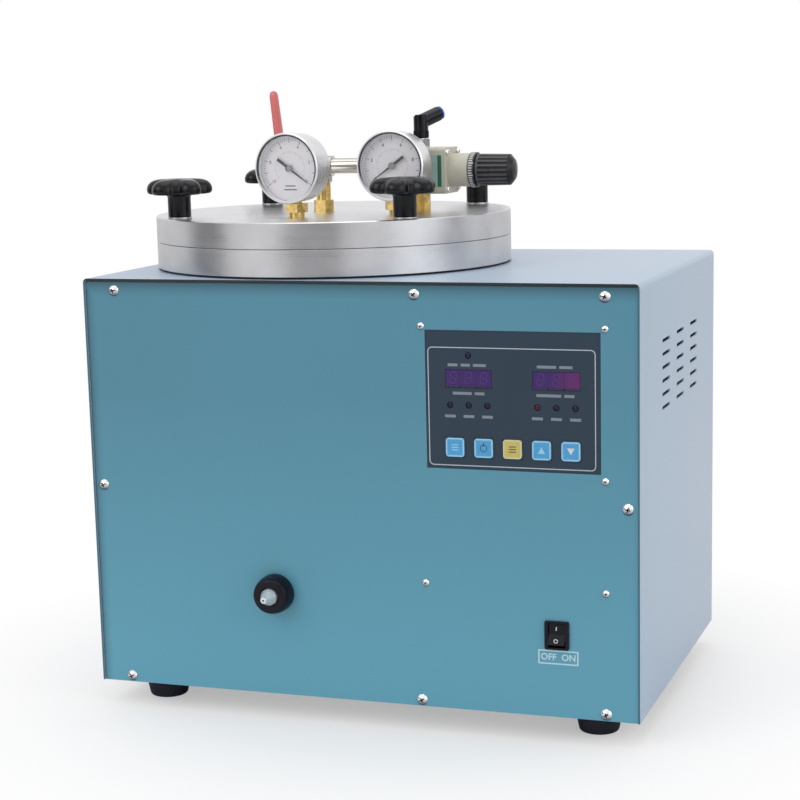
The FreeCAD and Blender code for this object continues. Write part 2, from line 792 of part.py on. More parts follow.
def make_lid_seal():
    """Round seal cord that lies in the flange's groove."""
    z = FLANGE_Z1 - SEAL_GROOVE_D + SEAL_CORD_R
    keep("lid_seal", Part.makeTorus(SEAL_R, SEAL_CORD_R, Vec(POT_X, POT_Y, z)))


def make_band_heater():
    """Split heating band round the pot, closed by a clamp screw at the back."""
    z0, z1 = BAND_Z0, BAND_Z0 + BAND_H
    band_r = POT_R + SEAT_GAP
    band = tube(band_r + BAND_T, band_r, (POT_X, POT_Y, z0), (POT_X, POT_Y, z1))
    back = POT_Y + band_r
    slit = (POT_X - BAND_SLIT / 2, POT_X + BAND_SLIT / 2)
    band = band.cut(box(slit, (back - 2 * BAND_T, back + 2 * BAND_T), (z0 - PAST, z1 + PAST)))
    ears = []
    for x in ((slit[0] - EAR_T, slit[0]), (slit[1], slit[1] + EAR_T)):
        ears.append(box(x, (back + 0.5, back + EAR_REACH), (z0 + BAND_H / 4, z1 - BAND_H / 4)))
    band = fuse_all([band] + ears)
    y, z = back + EAR_REACH * 0.65, (z0 + z1) / 2
    seat = slit[0] - EAR_T
    end = slit[1] + EAR_T + CLAMP_HEAD_H
    band = band.cut(rod(CLAMP_SCREW_R + HOLE_GAP, (seat - PAST, y, z), (end, y, z)))
    screw = rod(CLAMP_SCREW_R, (seat - PAST, y, z), (end, y, z))
    head = rod(CLAMP_HEAD_R, (seat - CLAMP_HEAD_H, y, z), (seat, y, z))
    keep("band_heater", band, fuse_all([screw, head]))


def make_insulation_jacket():
    """Mineral wool jacket round the upper pot."""
    low = (POT_X, POT_Y, BAND_Z0 + BAND_H + JACKET_GAP)
    high = (POT_X, POT_Y, CAB_Z1 - JACKET_TOP_DROP)
    inner = POT_R + 2 * BODY_GAP
    keep("insulation_jacket", tube(inner + JACKET_T, inner, low, high))


def block_sensor_spot():
    """Where the outlet block's sensor enters the block's right side."""
    return (POT_X + BLOCK_HALF, BLOCK_Y0 + BLOCK_SENSOR_BACK, NOZZLE_Z - BLOCK_SENSOR_DROP)


def make_temperature_sensors():
    """Screw-in sensors of the pot and of the outlet block."""
    wall_x = POT_X + POT_R
    start, end = wall_x - SENSOR_DEPTH + SEAT_GAP, wall_x + SENSOR_LENGTH
    pot_sensor = rod(SENSOR_R, (start, POT_Y, SENSOR_Z), (end, POT_Y, SENSOR_Z))
    nut_x = (wall_x + 2 * BODY_GAP, wall_x + SENSOR_LENGTH / 3)
    nut = hex_bar(SENSOR_NUT, (nut_x[0], POT_Y, SENSOR_Z), (nut_x[1], POT_Y, SENSOR_Z))
    x, y, z = block_sensor_spot()
    start, end = x - BLOCK_SENSOR_DEPTH, x + BLOCK_SENSOR_LENGTH
    block_sensor = rod(BLOCK_SENSOR_R, (start, y, z), (end, y, z))
    keep("temperature_sensors", fuse_all([pot_sensor, nut]), block_sensor)


# ---- outlet block and nozzle ----


def on_nozzle_axis(y):
    """The point of the nozzle's axis at a given depth."""
    return (POT_X, y, NOZZLE_Z)


def make_valve_block():
    """Heated outlet block between the pot's boss and the nozzle."""
    block = box(
        (POT_X - BLOCK_HALF, POT_X + BLOCK_HALF),
        (BLOCK_Y0, OUTLET_FACE),
        (NOZZLE_Z - BLOCK_HALF, NOZZLE_Z + BLOCK_HALF),
    )
    spigot_end = OUTLET_FACE + SPIGOT_LENGTH
    spigot = rod(SPIGOT_R, on_nozzle_axis(OUTLET_FACE - PAST), on_nozzle_axis(spigot_end))
    bore_end = NOZZLE_ROD_END + NOZZLE_TRAVEL + PAST
    rod_bore = rod(
        NOZZLE_ROD_R + RUNNING, on_nozzle_axis(BLOCK_Y0 - PAST), on_nozzle_axis(bore_end)
    )
    passage = rod(PASSAGE_R, on_nozzle_axis(BLOCK_Y0 + PAST), on_nozzle_axis(spigot_end + PAST))
    x, y, z0 = heater_spot()
    heater_bore = rod(HEATER_R + RUNNING, (x, y, z0), (x, y, NOZZLE_Z + BLOCK_HALF + PAST))
    x, y, z = block_sensor_spot()
    sensor_end = x - BLOCK_SENSOR_DEPTH - SEAT_GAP
    sensor_bore = rod(BLOCK_SENSOR_R + RUNNING, (sensor_end, y, z), (x + PAST, y, z))
    tools = [rod_bore, passage, heater_bore, sensor_bore]
    keep("valve_block", cut_all(fuse_all([block, spigot]), tools))


def heater_spot():
    """The lower end of the cartridge heater's bore."""
    return (POT_X - HEATER_OFFSET, BLOCK_Y0 + HEATER_BACK, NOZZLE_Z - BLOCK_HALF + HEATER_SEAT)


def make_nozzle_heater():
    """Cartridge heater in the outlet block."""
    x, y, z0 = heater_spot()
    top = NOZZLE_Z + BLOCK_HALF + HEATER_PROUD
    keep("nozzle_heater", rod(HEATER_R, (x, y, z0 + SEAT_GAP), (x, y, top)))


def make_nozzle_collar():
    """Black guard collar round the nozzle, with a neck through the front panel."""
    lip_r = NOZZLE_BARREL_R + BODY_GAP
    lip_end = COLLAR_FACE + COLLAR_LIP
    neck_end = PANEL_BACK + COLLAR_NECK_LENGTH
    collar = spun(
        [
            (lip_r, COLLAR_FACE),
            (COLLAR_FRONT_R - 1.5, COLLAR_FACE),
            (COLLAR_FRONT_R, COLLAR_FACE + 1.2),
            (COLLAR_R, PANEL_FACE - COLLAR_RIM),
            (COLLAR_R, PANEL_FACE),
            (COLLAR_NECK_R, PANEL_FACE),
            (COLLAR_NECK_R, neck_end),
            (COLLAR_NECK_BORE_R, neck_end),
            (COLLAR_NECK_BORE_R, lip_end),
            (lip_r, lip_end),
        ],
        (POT_X, 0, NOZZLE_Z),
        (0, 1, 0),
    )
    keep("nozzle_collar", collar)


def make_nozzle_tip():
    """Spring-loaded nozzle: cone, barrel, shoulder and guide rod with its wax bore."""
    nozzle = spun(
        [
            (0, NOZZLE_TIP_Y),
            (NOZZLE_TIP_R - 0.6, NOZZLE_TIP_Y),
            (NOZZLE_TIP_R, NOZZLE_TIP_Y + 0.6),
            (NOZZLE_BARREL_R, COLLAR_FACE - 1.5),
            (NOZZLE_BARREL_R, SHOULDER_Y),
            (SHOULDER_R, SHOULDER_Y),
            (SHOULDER_R, SHOULDER_Y + SHOULDER_T),
            (NOZZLE_ROD_R, SHOULDER_Y + SHOULDER_T),
            (NOZZLE_ROD_R, NOZZLE_ROD_END),
            (0, NOZZLE_ROD_END),
        ],
        (POT_X, 0, NOZZLE_Z),
        (0, 1, 0),
    )
    cross_y = NOZZLE_ROD_END - 8 * CROSS_HOLE_R
    bore_end = cross_y + CROSS_HOLE_R
    bore = rod(NOZZLE_ORIFICE_R, on_nozzle_axis(NOZZLE_TIP_Y - PAST), on_nozzle_axis(bore_end))
    reach = NOZZLE_ROD_R + PAST
    low, high = (POT_X, cross_y, NOZZLE_Z - reach), (POT_X, cross_y, NOZZLE_Z + reach)
    cross = rod(CROSS_HOLE_R, low, high)
    keep("nozzle_tip", cut_all(nozzle, [bore, cross]))


def make_nozzle_spring():
    """Return spring between outlet block and nozzle shoulder; its wire is twelve-sided."""
    start = SHOULDER_Y + SHOULDER_T + SPRING_WIRE_R + SPRING_GAP
    end = BLOCK_Y0 - SPRING_WIRE_R - SPRING_GAP
    length = end - start
    path = Part.Wire(Part.makeHelix(length / SPRING_TURNS, length, SPRING_COIL_R).Edges)
    spots = []
    for i in range(12):
        angle = math.radians(30 * i + 15)
        across = SPRING_WIRE_R * math.cos(angle)
        spots.append(Vec(SPRING_COIL_R + across, 0, SPRING_WIRE_R * math.sin(angle)))
    section = Part.makePolygon(spots + spots[:1])
    coil = path.makePipeShell([section], True, True)
    coil.Placement = FreeCAD.Placement(
        Vec(*on_nozzle_axis(start)), FreeCAD.Rotation(Vec(0, 0, 1), Vec(0, 1, 0))
    )
    keep("nozzle_spring", coil)


# ---- controller ----
def bracket_screw_spots():
    """(x, z) of the five small screws of the controller bracket."""
    left, right = CTRL_X - BRACKET_SCREW_X, CTRL_X + BRACKET_SCREW_X
    top, middle, low = (CAB_Z1 - drop for drop in BRACKET_SCREW_DROPS)
    return [(left, top), (right, top), (right, middle), (right, low), (left, low)]


def display_spots():
    """(x, z) of the middle of the two displays."""
    return [(CTRL_X + side * DISPLAY_OFFSET, CTRL_Z + DISPLAY_LIFT) for side in (-1, 1)]


def led_spots():
    """(x, z) of the seven indicator lamps."""
    left, right = (x for x, z in display_spots())
    low = CTRL_Z - LED_LOW
    spots = [(left, CTRL_Z + LED_HIGH)]
    for x in (left, right):
        for step in (-LED_PITCH, 0, LED_PITCH):
            spots.append((x + step, low))
    return spots


def key_spots():
    """(x, z) of the middle of the five keys."""
    return [(CTRL_X + (i - 2) * KEY_PITCH, CTRL_Z - KEY_DROP) for i in range(5)]


def around(spot, width, height, y):
    """A box of a given width and height round an (x, z) spot."""
    x, z = spot
    return box((x - width / 2, x + width / 2), y, (z - height / 2, z + height / 2))


def control_openings(y):
    """Tools that cut the displays', lamps' and keys' holes."""
    tools = []
    for spot in display_spots():
        tools.append(around(spot, DISPLAY_W + 2 * BODY_GAP, DISPLAY_H + 2 * BODY_GAP, y))
    for x, z in led_spots():
        tools.append(rod(LED_R + BODY_GAP, (x, y[0], z), (x, y[1], z)))
    for spot in key_spots():
        tools.append(around(spot, KEY_SIZE + 2 * BODY_GAP, KEY_SIZE + 2 * BODY_GAP, y))
    return tools


def make_controller_bracket():
    """Steel carrier behind the front panel, with standoffs for the circuit board."""
    half = BRACKET_SCREW_X + BRACKET_MARGIN
    x = (CTRL_X - half, CTRL_X + half)
    low = CAB_Z1 - BRACKET_SCREW_DROPS[2] - BRACKET_MARGIN
    high = CAB_Z1 - BRACKET_SCREW_DROPS[0] + BRACKET_MARGIN
    y = (PANEL_BACK, PANEL_BACK + SHEET)
    parts = [box(x, y, (low, high))]
    for px, pz in board_corners():
        parts.append(rod(BOARD_STANDOFF_R, (px, y[0] + SHEET / 2, pz), (px, BOARD_Y, pz)))
    cut_y = (y[0] - PAST, y[1] + PAST)
    tools = control_openings(cut_y)
    for sx, sz in bracket_screw_spots():
        hole_r = BRACKET_SCREW_R + THREAD_FIT
        tools.append(rod(hole_r, (sx, cut_y[0], sz), (sx, cut_y[1], sz)))
    keep("controller_bracket", cut_all(fuse_all(parts), tools))


def board_corners():
    """(x, z) of the circuit board's four standoffs."""
    x = BOARD_W / 2 - BOARD_HOLE_INSET
    z = BOARD_H / 2 - BOARD_HOLE_INSET
    return [(CTRL_X + sx * x, CTRL_Z + sz * z) for sx in (-1, 1) for sz in (-1, 1)]


def make_controller_overlay():
    """Flat keypad overlay in the front panel's window, with its two tinted display panes."""
    y = (PANEL_BACK - OVERLAY_T, PANEL_BACK)
    sheet = around((CTRL_X, CTRL_Z), OVERLAY_W, OVERLAY_H, y)
    sheet = cut_all(sheet, control_openings((y[0] - 1, y[1] + 1)))
    panes = [around(spot, DISPLAY_W, DISPLAY_H, y) for spot in display_spots()]
    keep("controller_overlay", sheet, *panes)


def make_indicator_leds():
    """Seven indicator lamps standing on the circuit board, each with a low domed end."""
    lamps = []
    front = PANEL_BACK - OVERLAY_T - LED_PROUD
    dome_r = LED_R * 1.5
    for x, z in led_spots():
        dome = Part.makeSphere(dome_r, Vec(x, front + dome_r, z))
        lamps.append(dome.common(rod(LED_R, (x, front, z), (x, front + dome_r, z))))
        lamps[-1] = fuse_all([lamps[-1], rod(LED_R, (x, front + dome_r, z), (x, BOARD_Y, z))])
    keep("indicator_leds", *lamps)


def make_controller_board():
    """Circuit board with display modules, key switches, relays, capacitor and terminals."""
    front, back = BOARD_Y, BOARD_Y + BOARD_T
    solids = [around((CTRL_X, CTRL_Z), BOARD_W, BOARD_H, (front, back))]
    for spot in display_spots():
        solids.append(around(spot, DISPLAY_W, DISPLAY_H, (PANEL_BACK + DISPLAY_GAP, front)))
    for x, z in key_spots():
        solids.append(rod(KEY_SWITCH_R, (x, front - KEY_SWITCH_H, z), (x, front, z)))
    for i in range(3):
        spot = (CTRL_X + RELAY_START[0] + RELAY_PITCH * i, CTRL_Z + RELAY_START[1])
        solids.append(around(spot, RELAY[0], RELAY[1], (back, back + RELAY[2])))
    spot = (CTRL_X, CTRL_Z - TERMINALS_DROP)
    solids.append(around(spot, TERMINALS[0], TERMINALS[1], (back, back + TERMINALS[2])))
    x, z = CTRL_X + CAPACITOR_SPOT[0], CTRL_Z + CAPACITOR_SPOT[1]
    solids.append(rod(CAPACITOR_R, (x, back, z), (x, back + CAPACITOR_H, z)))
    keep("controller_board", *solids)


def make_keys():
    """Five square key caps that press the switches on the board."""
    front = PANEL_BACK - OVERLAY_T - KEY_PROUD
    flange_y = PANEL_BACK + SHEET + BODY_GAP
    stem_end = BOARD_Y - KEY_SWITCH_H - BODY_GAP - KEY_TRAVEL
    flange_w = KEY_SIZE + 2 * KEY_FLANGE
    half = KEY_SIZE / 2
    for number, spot in enumerate(key_spots(), start=1):
        x, z = spot
        cap_y = (front, flange_y + KEY_FLANGE_T / 2)
        cap = plate((x - half, x + half), cap_y, (z - half, z + half), KEY_ROUND)
        flange = around(spot, flange_w, flange_w, (flange_y, flange_y + KEY_FLANGE_T))
        stem = rod(KEY_STEM_R, (x, flange_y, z), (x, stem_end, z))
        keep("key_" + str(number), fuse_all([cap, flange, stem]))


def make_bracket_screws():
    """Five small screws through the front panel into the controller bracket."""
    screws = []
    for x, z in bracket_screw_spots():
        screw = pan_screw(
            BRACKET_SCREW_R, BRACKET_HEAD_R, BRACKET_HEAD_H, BRACKET_SCREW_LENGTH
        )
        screws.append(moved(screw, (x, PANEL_FACE, z)))
    keep("bracket_screws", *screws)


# ---- mains switch ----
def switch_block(gap, y):
    """The part of the switch housing that passes through the front panel."""
    width = SWITCH_W - 2 * SWITCH_LIP[0] + 2 * gap
    height = SWITCH_H - 2 * SWITCH_LIP[1] + 2 * gap
    return around((SWITCH_X, SWITCH_Z), width, height, y)


def make_switch_housing():
    """Switch housing: bezel, body, rocker recess, pivot holes and three terminal blades."""
    spot = (SWITCH_X, SWITCH_Z)
    half_w, half_h = SWITCH_W / 2, SWITCH_H / 2
    bezel = plate(
        (SWITCH_X - half_w, SWITCH_X + half_w),
        (PANEL_FACE - SWITCH_BEZEL_T, PANEL_FACE),
        (SWITCH_Z - half_h, SWITCH_Z + half_h),
        SWITCH_ROUND,
    )
    body = switch_block(0, (PANEL_FACE - SWITCH_BEZEL_T / 2, SWITCH_BODY_Y))
    recess_w = ROCKER_W + 2 * ROCKER_SIDE_GAP
    recess_h = 2 * (ROCKER_HALF + ROCKER_END_GAP)
    recess_y = (PANEL_FACE - SWITCH_BEZEL_T - PAST, PIVOT_Y + RECESS_DEPTH)
    recess = around(spot, recess_w, recess_h, recess_y)
    reach = ROCKER_W / 2 + ROCKER_PIN_LENGTH + SEAT_GAP
    pin_r = ROCKER_PIN_R + RUNNING
    left, right = (SWITCH_X - reach, PIVOT_Y, SWITCH_Z), (SWITCH_X + reach, PIVOT_Y, SWITCH_Z)
    housing = cut_all(fuse_all([bezel, body]), [recess, rod(pin_r, left, right)])
    blades = []
    for step in (-BLADE_PITCH, 0, BLADE_PITCH):
        blade_y = (SWITCH_BODY_Y - 2, SWITCH_BODY_Y + BLADE[2])
        blades.append(around((SWITCH_X, SWITCH_Z + step), BLADE[0], BLADE[1], blade_y))
    keep("switch_housing", fuse_all([housing] + blades))


def make_rocker():
    """Rocker with two sloping halves, at rest with its upper half pressed in."""
    half = ROCKER_HALF
    outline = [(half, -4.9), (0, -2.9), (-half, -4.9), (-half, 2.6)]
    outline += [(-half / 2, 3.2), (half / 2, 3.2), (half, 2.6)]
    spots = [Vec(-ROCKER_W / 2, y, z) for z, y in outline]
    body = Part.Face(Part.makePolygon(spots + spots[:1])).extrude(Vec(ROCKER_W, 0, 0))
    reach = ROCKER_W / 2 + ROCKER_PIN_LENGTH
    body = fuse_all([body, rod(ROCKER_PIN_R, (-reach, 0, 0), (reach, 0, 0))])
    body = turned(body, (0, 0, 0), (1, 0, 0), -ROCKER_TILT)
    keep("rocker", moved(body, (SWITCH_X, PIVOT_Y, SWITCH_Z)))


# ---- what stands on the base tray, and the rear connections ----
def make_transformer():
    """Laminated mains transformer: core with feet, and its winding."""
    width, depth, height = TRAFO_CORE
    x0, y0 = RIGHT_X - TRAFO_INSET_X, TRAFO_Y
    x1, y1 = x0 + width, y0 + depth
    low, high = BASE_TOP + TRAFO_FOOT_T, BASE_TOP + TRAFO_FOOT_T + height
    core = box((x0, x1), (y0, y1), (low, high))
    feet = box(
        (x0 - TRAFO_FOOT, x1 + TRAFO_FOOT), (y0 + 4, y1 - 4), (BASE_TOP, low + TRAFO_FOOT_T / 4)
    )
    core = fuse_all([core, feet])
    window_z = (low + TRAFO_YOKE, high - TRAFO_YOKE)
    leg_x = (x0 + 2 * TRAFO_LEG, x1 - 2 * TRAFO_LEG)
    for x in ((x0 + TRAFO_LEG, leg_x[0]), (leg_x[1], x1 - TRAFO_LEG)):
        core = core.cut(box(x, (y0 - PAST, y1 + PAST), window_z))
    g = COIL_GAP
    coil = box(
        (x0 + TRAFO_LEG + g, x1 - TRAFO_LEG - g),
        (y0 - COIL_OVERHANG, y1 + COIL_OVERHANG),
        (window_z[0] + g, window_z[1] - g),
    )
    inside = box((leg_x[0] - g, leg_x[1] + g), (y0 - g, y1 + g), (low, high))
    keep("transformer", core, coil.cut(inside))


def make_vacuum_pump():
    """Small vacuum pump: motor, diaphragm head, foot and two hose stubs."""
    x, z = RIGHT_X - PUMP_INSET_X, BASE_TOP + PUMP_RISE
    half = PUMP_HEAD_HALF
    foot_half, foot_y0, foot_y1, foot_h = PUMP_FOOT
    head_y = (PUMP_Y[0], PUMP_Y[1])
    parts = [
        rod(PUMP_R, (x, PUMP_Y[1], z), (x, PUMP_Y[2], z)),
        box((x - half, x + half), head_y, (z - PUMP_R, z + PUMP_R)),
        box((x - foot_half, x + foot_half), (foot_y0, foot_y1), (BASE_TOP, BASE_TOP + foot_h)),
    ]
    y = (head_y[0] + head_y[1]) / 2
    for side in (-1, 1):
        spot = x + side * HOSE_STUB_X
        top = z + PUMP_R + HOSE_STUB_LENGTH
        parts.append(rod(HOSE_STUB_R, (spot, y, z + PUMP_R - PAST), (spot, y, top)))
    keep("vacuum_pump", fuse_all(parts))


def make_solenoid_valves():
    """Two solenoid valves that switch air and vacuum."""
    y = (BACK_Y - SOLENOID_BACK - 3 - SOLENOID_T, BACK_Y - SOLENOID_BACK - 3)
    body_w, body_h = SOLENOID_BODY
    coil_w, coil_h = SOLENOID_COIL
    valves = []
    for inset in SOLENOID_INSETS_X:
        x = RIGHT_X - inset
        top = BASE_TOP + body_h
        parts = [
            box((x - body_w / 2, x + body_w / 2), y, (BASE_TOP, top)),
            box((x - coil_w / 2, x + coil_w / 2), y, (top, top + coil_h)),
        ]
        z = BASE_TOP + body_h / 2
        for side in (-1, 1):
            spot = x + side * SOLENOID_STUB_X
            end = (spot, y[0] - HOSE_STUB_LENGTH, z)
            parts.append(rod(HOSE_STUB_R, (spot, y[0] + PAST, z), end))
        valves.append(fuse_all(parts))
    keep("solenoid_valves", *valves)


def make_mains_inlet():
    """Mains inlet socket with three pins."""
    face = -PANEL_FACE
    spot = (INLET_X, INLET_Z)
    half_w, half_h = INLET_FLANGE[0] / 2, INLET_FLANGE[1] / 2
    flange = plate(
        (INLET_X - half_w, INLET_X + half_w),
        (face, face + INLET_FLANGE[2]),
        (INLET_Z - half_h, INLET_Z + half_h),
        2 * SWITCH_ROUND,
    )
    body = around(spot, INLET_W, INLET_H, (face - INLET_DEPTH, face + INLET_FLANGE[2] / 2))
    cavity_y = (face - INLET_CAVITY[2], face + INLET_FLANGE[2] + PAST)
    cavity = around(spot, INLET_CAVITY[0], INLET_CAVITY[1], cavity_y)
    housing = fuse_all([flange, body]).cut(cavity)
    pins = []
    for dx, dz, width, height in PIN_SPOTS:
        pin_y = (face - PIN_TAIL, face - 0.5)
        pin = around((INLET_X + dx, INLET_Z + dz), width, height, pin_y)
        housing = housing.cut(pin)
        pins.append(pin)
    keep("mains_inlet", housing, *pins)


def make_air_ports():
    """Two bulkhead tube couplings through the rear panel, each with its nut."""
    inside, outside = -PANEL_BACK, -PANEL_FACE
    mouth = outside + AIR_PORT_PROUD
    start = inside - AIR_PORT_INSIDE
    z = AIR_PORT_Z
    solids = []
    for x in AIR_PORT_X:
        parts = [
            rod(THREAD_R, (x, start, z), (x, outside + PAST, z)),
            hex_bar(AIR_PORT_HEX, (x, outside, z), (x, outside + AIR_PORT_HEX_T, z)),
            rod(AIR_PORT_R, (x, outside + AIR_PORT_HEX_T - PAST, z), (x, mouth, z)),
        ]
        socket = rod(TUBE_R, (x, mouth - AIR_PORT_DEPTH, z), (x, mouth + PAST, z))
        bore = rod(AIR_PORT_BORE_R, (x, start - PAST, z), (x, mouth, z))
        solids.append(cut_all(fuse_all(parts), [socket, bore]))
        nut = hex_bar(AIR_PORT_HEX, (x, inside - AIR_PORT_HEX_T, z), (x, inside, z))
        nut_bore = rod(THREAD_R + THREAD_FIT, (x, start, z), (x, inside + PAST, z))
        solids.append(nut.cut(nut_bore))
    keep("air_ports", *solids)


# ---- lid ----
def gauge_spots():
    """(x, y, turn) of the stem of each gauge; turn faces it a little to the left."""
    left = (POT_X + GAUGE_LEFT[0], POT_Y + GAUGE_LEFT[1], -GAUGE_LEFT_TURN)
    right = (POT_X + GAUGE_RIGHT[0], POT_Y + GAUGE_RIGHT[1], 0.0)
    return {"left": left, "right": right}


def lid_port_spots():
    """(x, y) of the four threaded ports of the lid."""
    stems = [(x, y) for x, y, turn in gauge_spots().values()]
    return stems + [(RISER_X, PIPE_Y), (REG_PORT_X, REG_Y)]


def make_lid_plate():
    """Turned lid with stud holes, threaded ports and a locating spigot underneath."""
    c = RIM_CHAMFER
    spigot_r = POT_BORE_R - LID_SPIGOT_GAP
    lid = spun(
        [
            (0, LID_Z0 - LID_SPIGOT_H),
            (spigot_r, LID_Z0 - LID_SPIGOT_H),
            (spigot_r, LID_Z0),
            (FLANGE_R - c / 2, LID_Z0),
            (FLANGE_R, LID_Z0 + c / 2),
            (FLANGE_R, LID_Z1 - c),
            (FLANGE_R - c, LID_Z1),
            (0, LID_Z1),
        ],
        (POT_X, POT_Y, 0),
        (0, 0, 1),
    )
    tools = []
    for x, y in knob_spots().values():
        tools.append(rod(STUD_R + STUD_FIT, (x, y, LID_Z0 - PAST), (x, y, LID_Z1 + PAST)))
    for x, y in lid_port_spots():
        port_low = LID_Z1 - PORT_THREAD - PORT_SPARE
        tools.append(rod(THREAD_R + THREAD_FIT, (x, y, port_low), (x, y, LID_Z1 + PAST)))
        tools.append(rod(LID_PORT_R, (x, y, LID_Z0 - LID_SPIGOT_H - PAST), (x, y, LID_Z1)))
    keep("lid_plate", cut_all(lid, tools))


def make_star_knobs():
    """Four lobed clamping knobs with steel studs, and the washer under each."""
    for name, (x, y) in knob_spots().items():
        washer_z = (LID_Z1 + SEAT_GAP, LID_Z1 + SEAT_GAP + WASHER_T)
        washer = tube(WASHER_R, STUD_R + STUD_FIT, (x, y, washer_z[0]), (x, y, washer_z[1]))
        keep("knob_washer_" + name, washer)
        z0 = washer_z[1] + SEAT_GAP
        head_z = z0 + KNOB_STEM_H - KNOB_SINK
        knob = star_head(x, y, head_z, KNOB_FRONT_LOBE + KNOB_TURNS[name])
        knob = knob.fuse(rod(KNOB_STEM_R, (x, y, z0), (x, y, head_z + KNOB_HEAD_H / 4)))
        stud_top = z0 + KNOB_STEM_H - STUD_TOP_INSET
        stud_hole = rod(STUD_R + THREAD_FIT, (x, y, z0 - PAST), (x, y, stud_top + SEAT_GAP))
        knob = knob.cut(stud_hole)
        stud = rod(STUD_R, (x, y, FLANGE_Z1 - STUD_GRIP), (x, y, stud_top))
        keep("star_knob_" + name, knob, stud)


def star_head(x, y, z0, turn):
    """The lobed head: an outline of rounded lobes, the first at turn degrees, under a low dome."""
    ring_r = KNOB_R - KNOB_LOBE_R
    top = z0 + KNOB_HEAD_H + PAST
    outline = rod(KNOB_WEB_R, (x, y, z0 - PAST), (x, y, top))
    for i in range(KNOB_LOBES):
        angle = math.radians(turn + 360 / KNOB_LOBES * i)
        lx, ly = x + ring_r * math.cos(angle), y + ring_r * math.sin(angle)
        outline = outline.fuse(rod(KNOB_LOBE_R, (lx, ly, z0 - PAST), (lx, ly, top)))
    dome = spun(
        [
            (0, z0),
            (KNOB_STEM_R, z0),
            (KNOB_R * 0.86, z0 + 1.5),
            (KNOB_R, z0 + 4.5),
            (KNOB_R, z0 + KNOB_HEAD_H - 6.5),
            (KNOB_R * 0.9, z0 + KNOB_HEAD_H - 3.0),
            (KNOB_R * 0.6, z0 + KNOB_HEAD_H - 0.8),
            (KNOB_R * 0.25, z0 + KNOB_HEAD_H),
            (0, z0 + KNOB_HEAD_H),
        ],
        (x, y, 0),
        (0, 0, 1),
    )
    return outline.common(dome).removeSplitter()


# ---- gauges ----


def gauge_case():
    """Gauge case and bezel about the hub; its face looks to -Y."""
    case = spun(
        [
            (GAUGE_R - GAUGE_RIM, -GAUGE_FRONT),
            (GAUGE_R - 0.8, -GAUGE_FRONT),
            (GAUGE_R, 0.8 - GAUGE_FRONT),
            (GAUGE_R, GAUGE_RIM_W - GAUGE_FRONT),
            (CASE_R, GAUGE_RIM_W + 0.6 - GAUGE_FRONT),
            (CASE_R, GAUGE_BACK - 1.5),
            (CASE_R - 1.5, GAUGE_BACK),
            (0, GAUGE_BACK),
            (0, GAUGE_BACK - 1.2),
            (CASE_BORE, GAUGE_BACK - 1.2),
            (CASE_BORE, 1.5 - GAUGE_FRONT),
            (GAUGE_R - GAUGE_RIM, 1.5 - GAUGE_FRONT),
        ],
        (0, 0, 0),
        (0, 1, 0),
    )
    return case.cut(rod(STEM_R + RUNNING, (0, 0, -GAUGE_R - PAST), (0, 0, -BOURDON_R)))


def gauge_stem():
    """Brass stem below the hub: thread, neck, hexagon, socket block and curved tube."""
    lid_z = -GAUGE_HUB_RISE
    thread_z = lid_z - PORT_THREAD
    hex_top = -CASE_R - 1.3
    socket_z = (-BOURDON_R - 6, -BOURDON_R + 5)
    parts = [
        rod(THREAD_R, (0, 0, thread_z), (0, 0, lid_z)),
        rod(GAUGE_NECK_R, (0, 0, lid_z), (0, 0, lid_z + GAUGE_NECK_H)),
        hex_bar(GAUGE_HEX, (0, 0, lid_z + GAUGE_NECK_H - 0.5), (0, 0, hex_top)),
        rod(STEM_R, (0, 0, hex_top - 0.6), (0, 0, socket_z[0] + 3)),
        box((-5.5, 5.5), (-5, 5), socket_z),
    ]
    sweep = Part.makeTorus(BOURDON_R, BOURDON_TUBE_R, Vec(0, 1, 0), Vec(0, 1, 0), 0, 360, 250)
    parts.append(turned(sweep, (0, 0, 0), (0, 1, 0), 90))
    bore = rod(STEM_BORE_R, (0, 0, thread_z - PAST), (0, 0, socket_z[0] + 4))
    return fuse_all(parts).cut(bore)


def gauge_pointer(angle):
    """Pointer with its tip at an angle in degrees from +X, seen from the front."""
    y = (DIAL_Y - 1.8 - POINTER_T, DIAL_Y - 1.8)
    tip, tail = POINTER_TIP, -POINTER_TAIL
    outline = [(tip, 0.25), (2, 0.9), (tail, 1.3), (tail, -1.3), (2, -0.9), (tip, -0.25)]
    spots = [Vec(px, y[0], pz) for px, pz in outline]
    needle = Part.Face(Part.makePolygon(spots + spots[:1])).extrude(Vec(0, POINTER_T, 0))
    hub = rod(POINTER_HUB_R, (0, y[0] - 0.5, 0), (0, y[1] + 0.6, 0))
    shaft = rod(POINTER_SHAFT_R, (0, y[1], 0), (0, DIAL_Y + 5, 0))
    return turned(fuse_all([needle, hub, shaft]), (0, 0, 0), (0, 1, 0), -angle)


def on_gauge(shape, which):
    """Place a shape made about a gauge's hub onto that gauge."""
    x, y, turn = gauge_spots()[which]
    shape = turned(shape, (0, 0, 0), (0, 0, 1), turn)
    return moved(shape, (x, y, LID_Z1 + GAUGE_HUB_RISE))


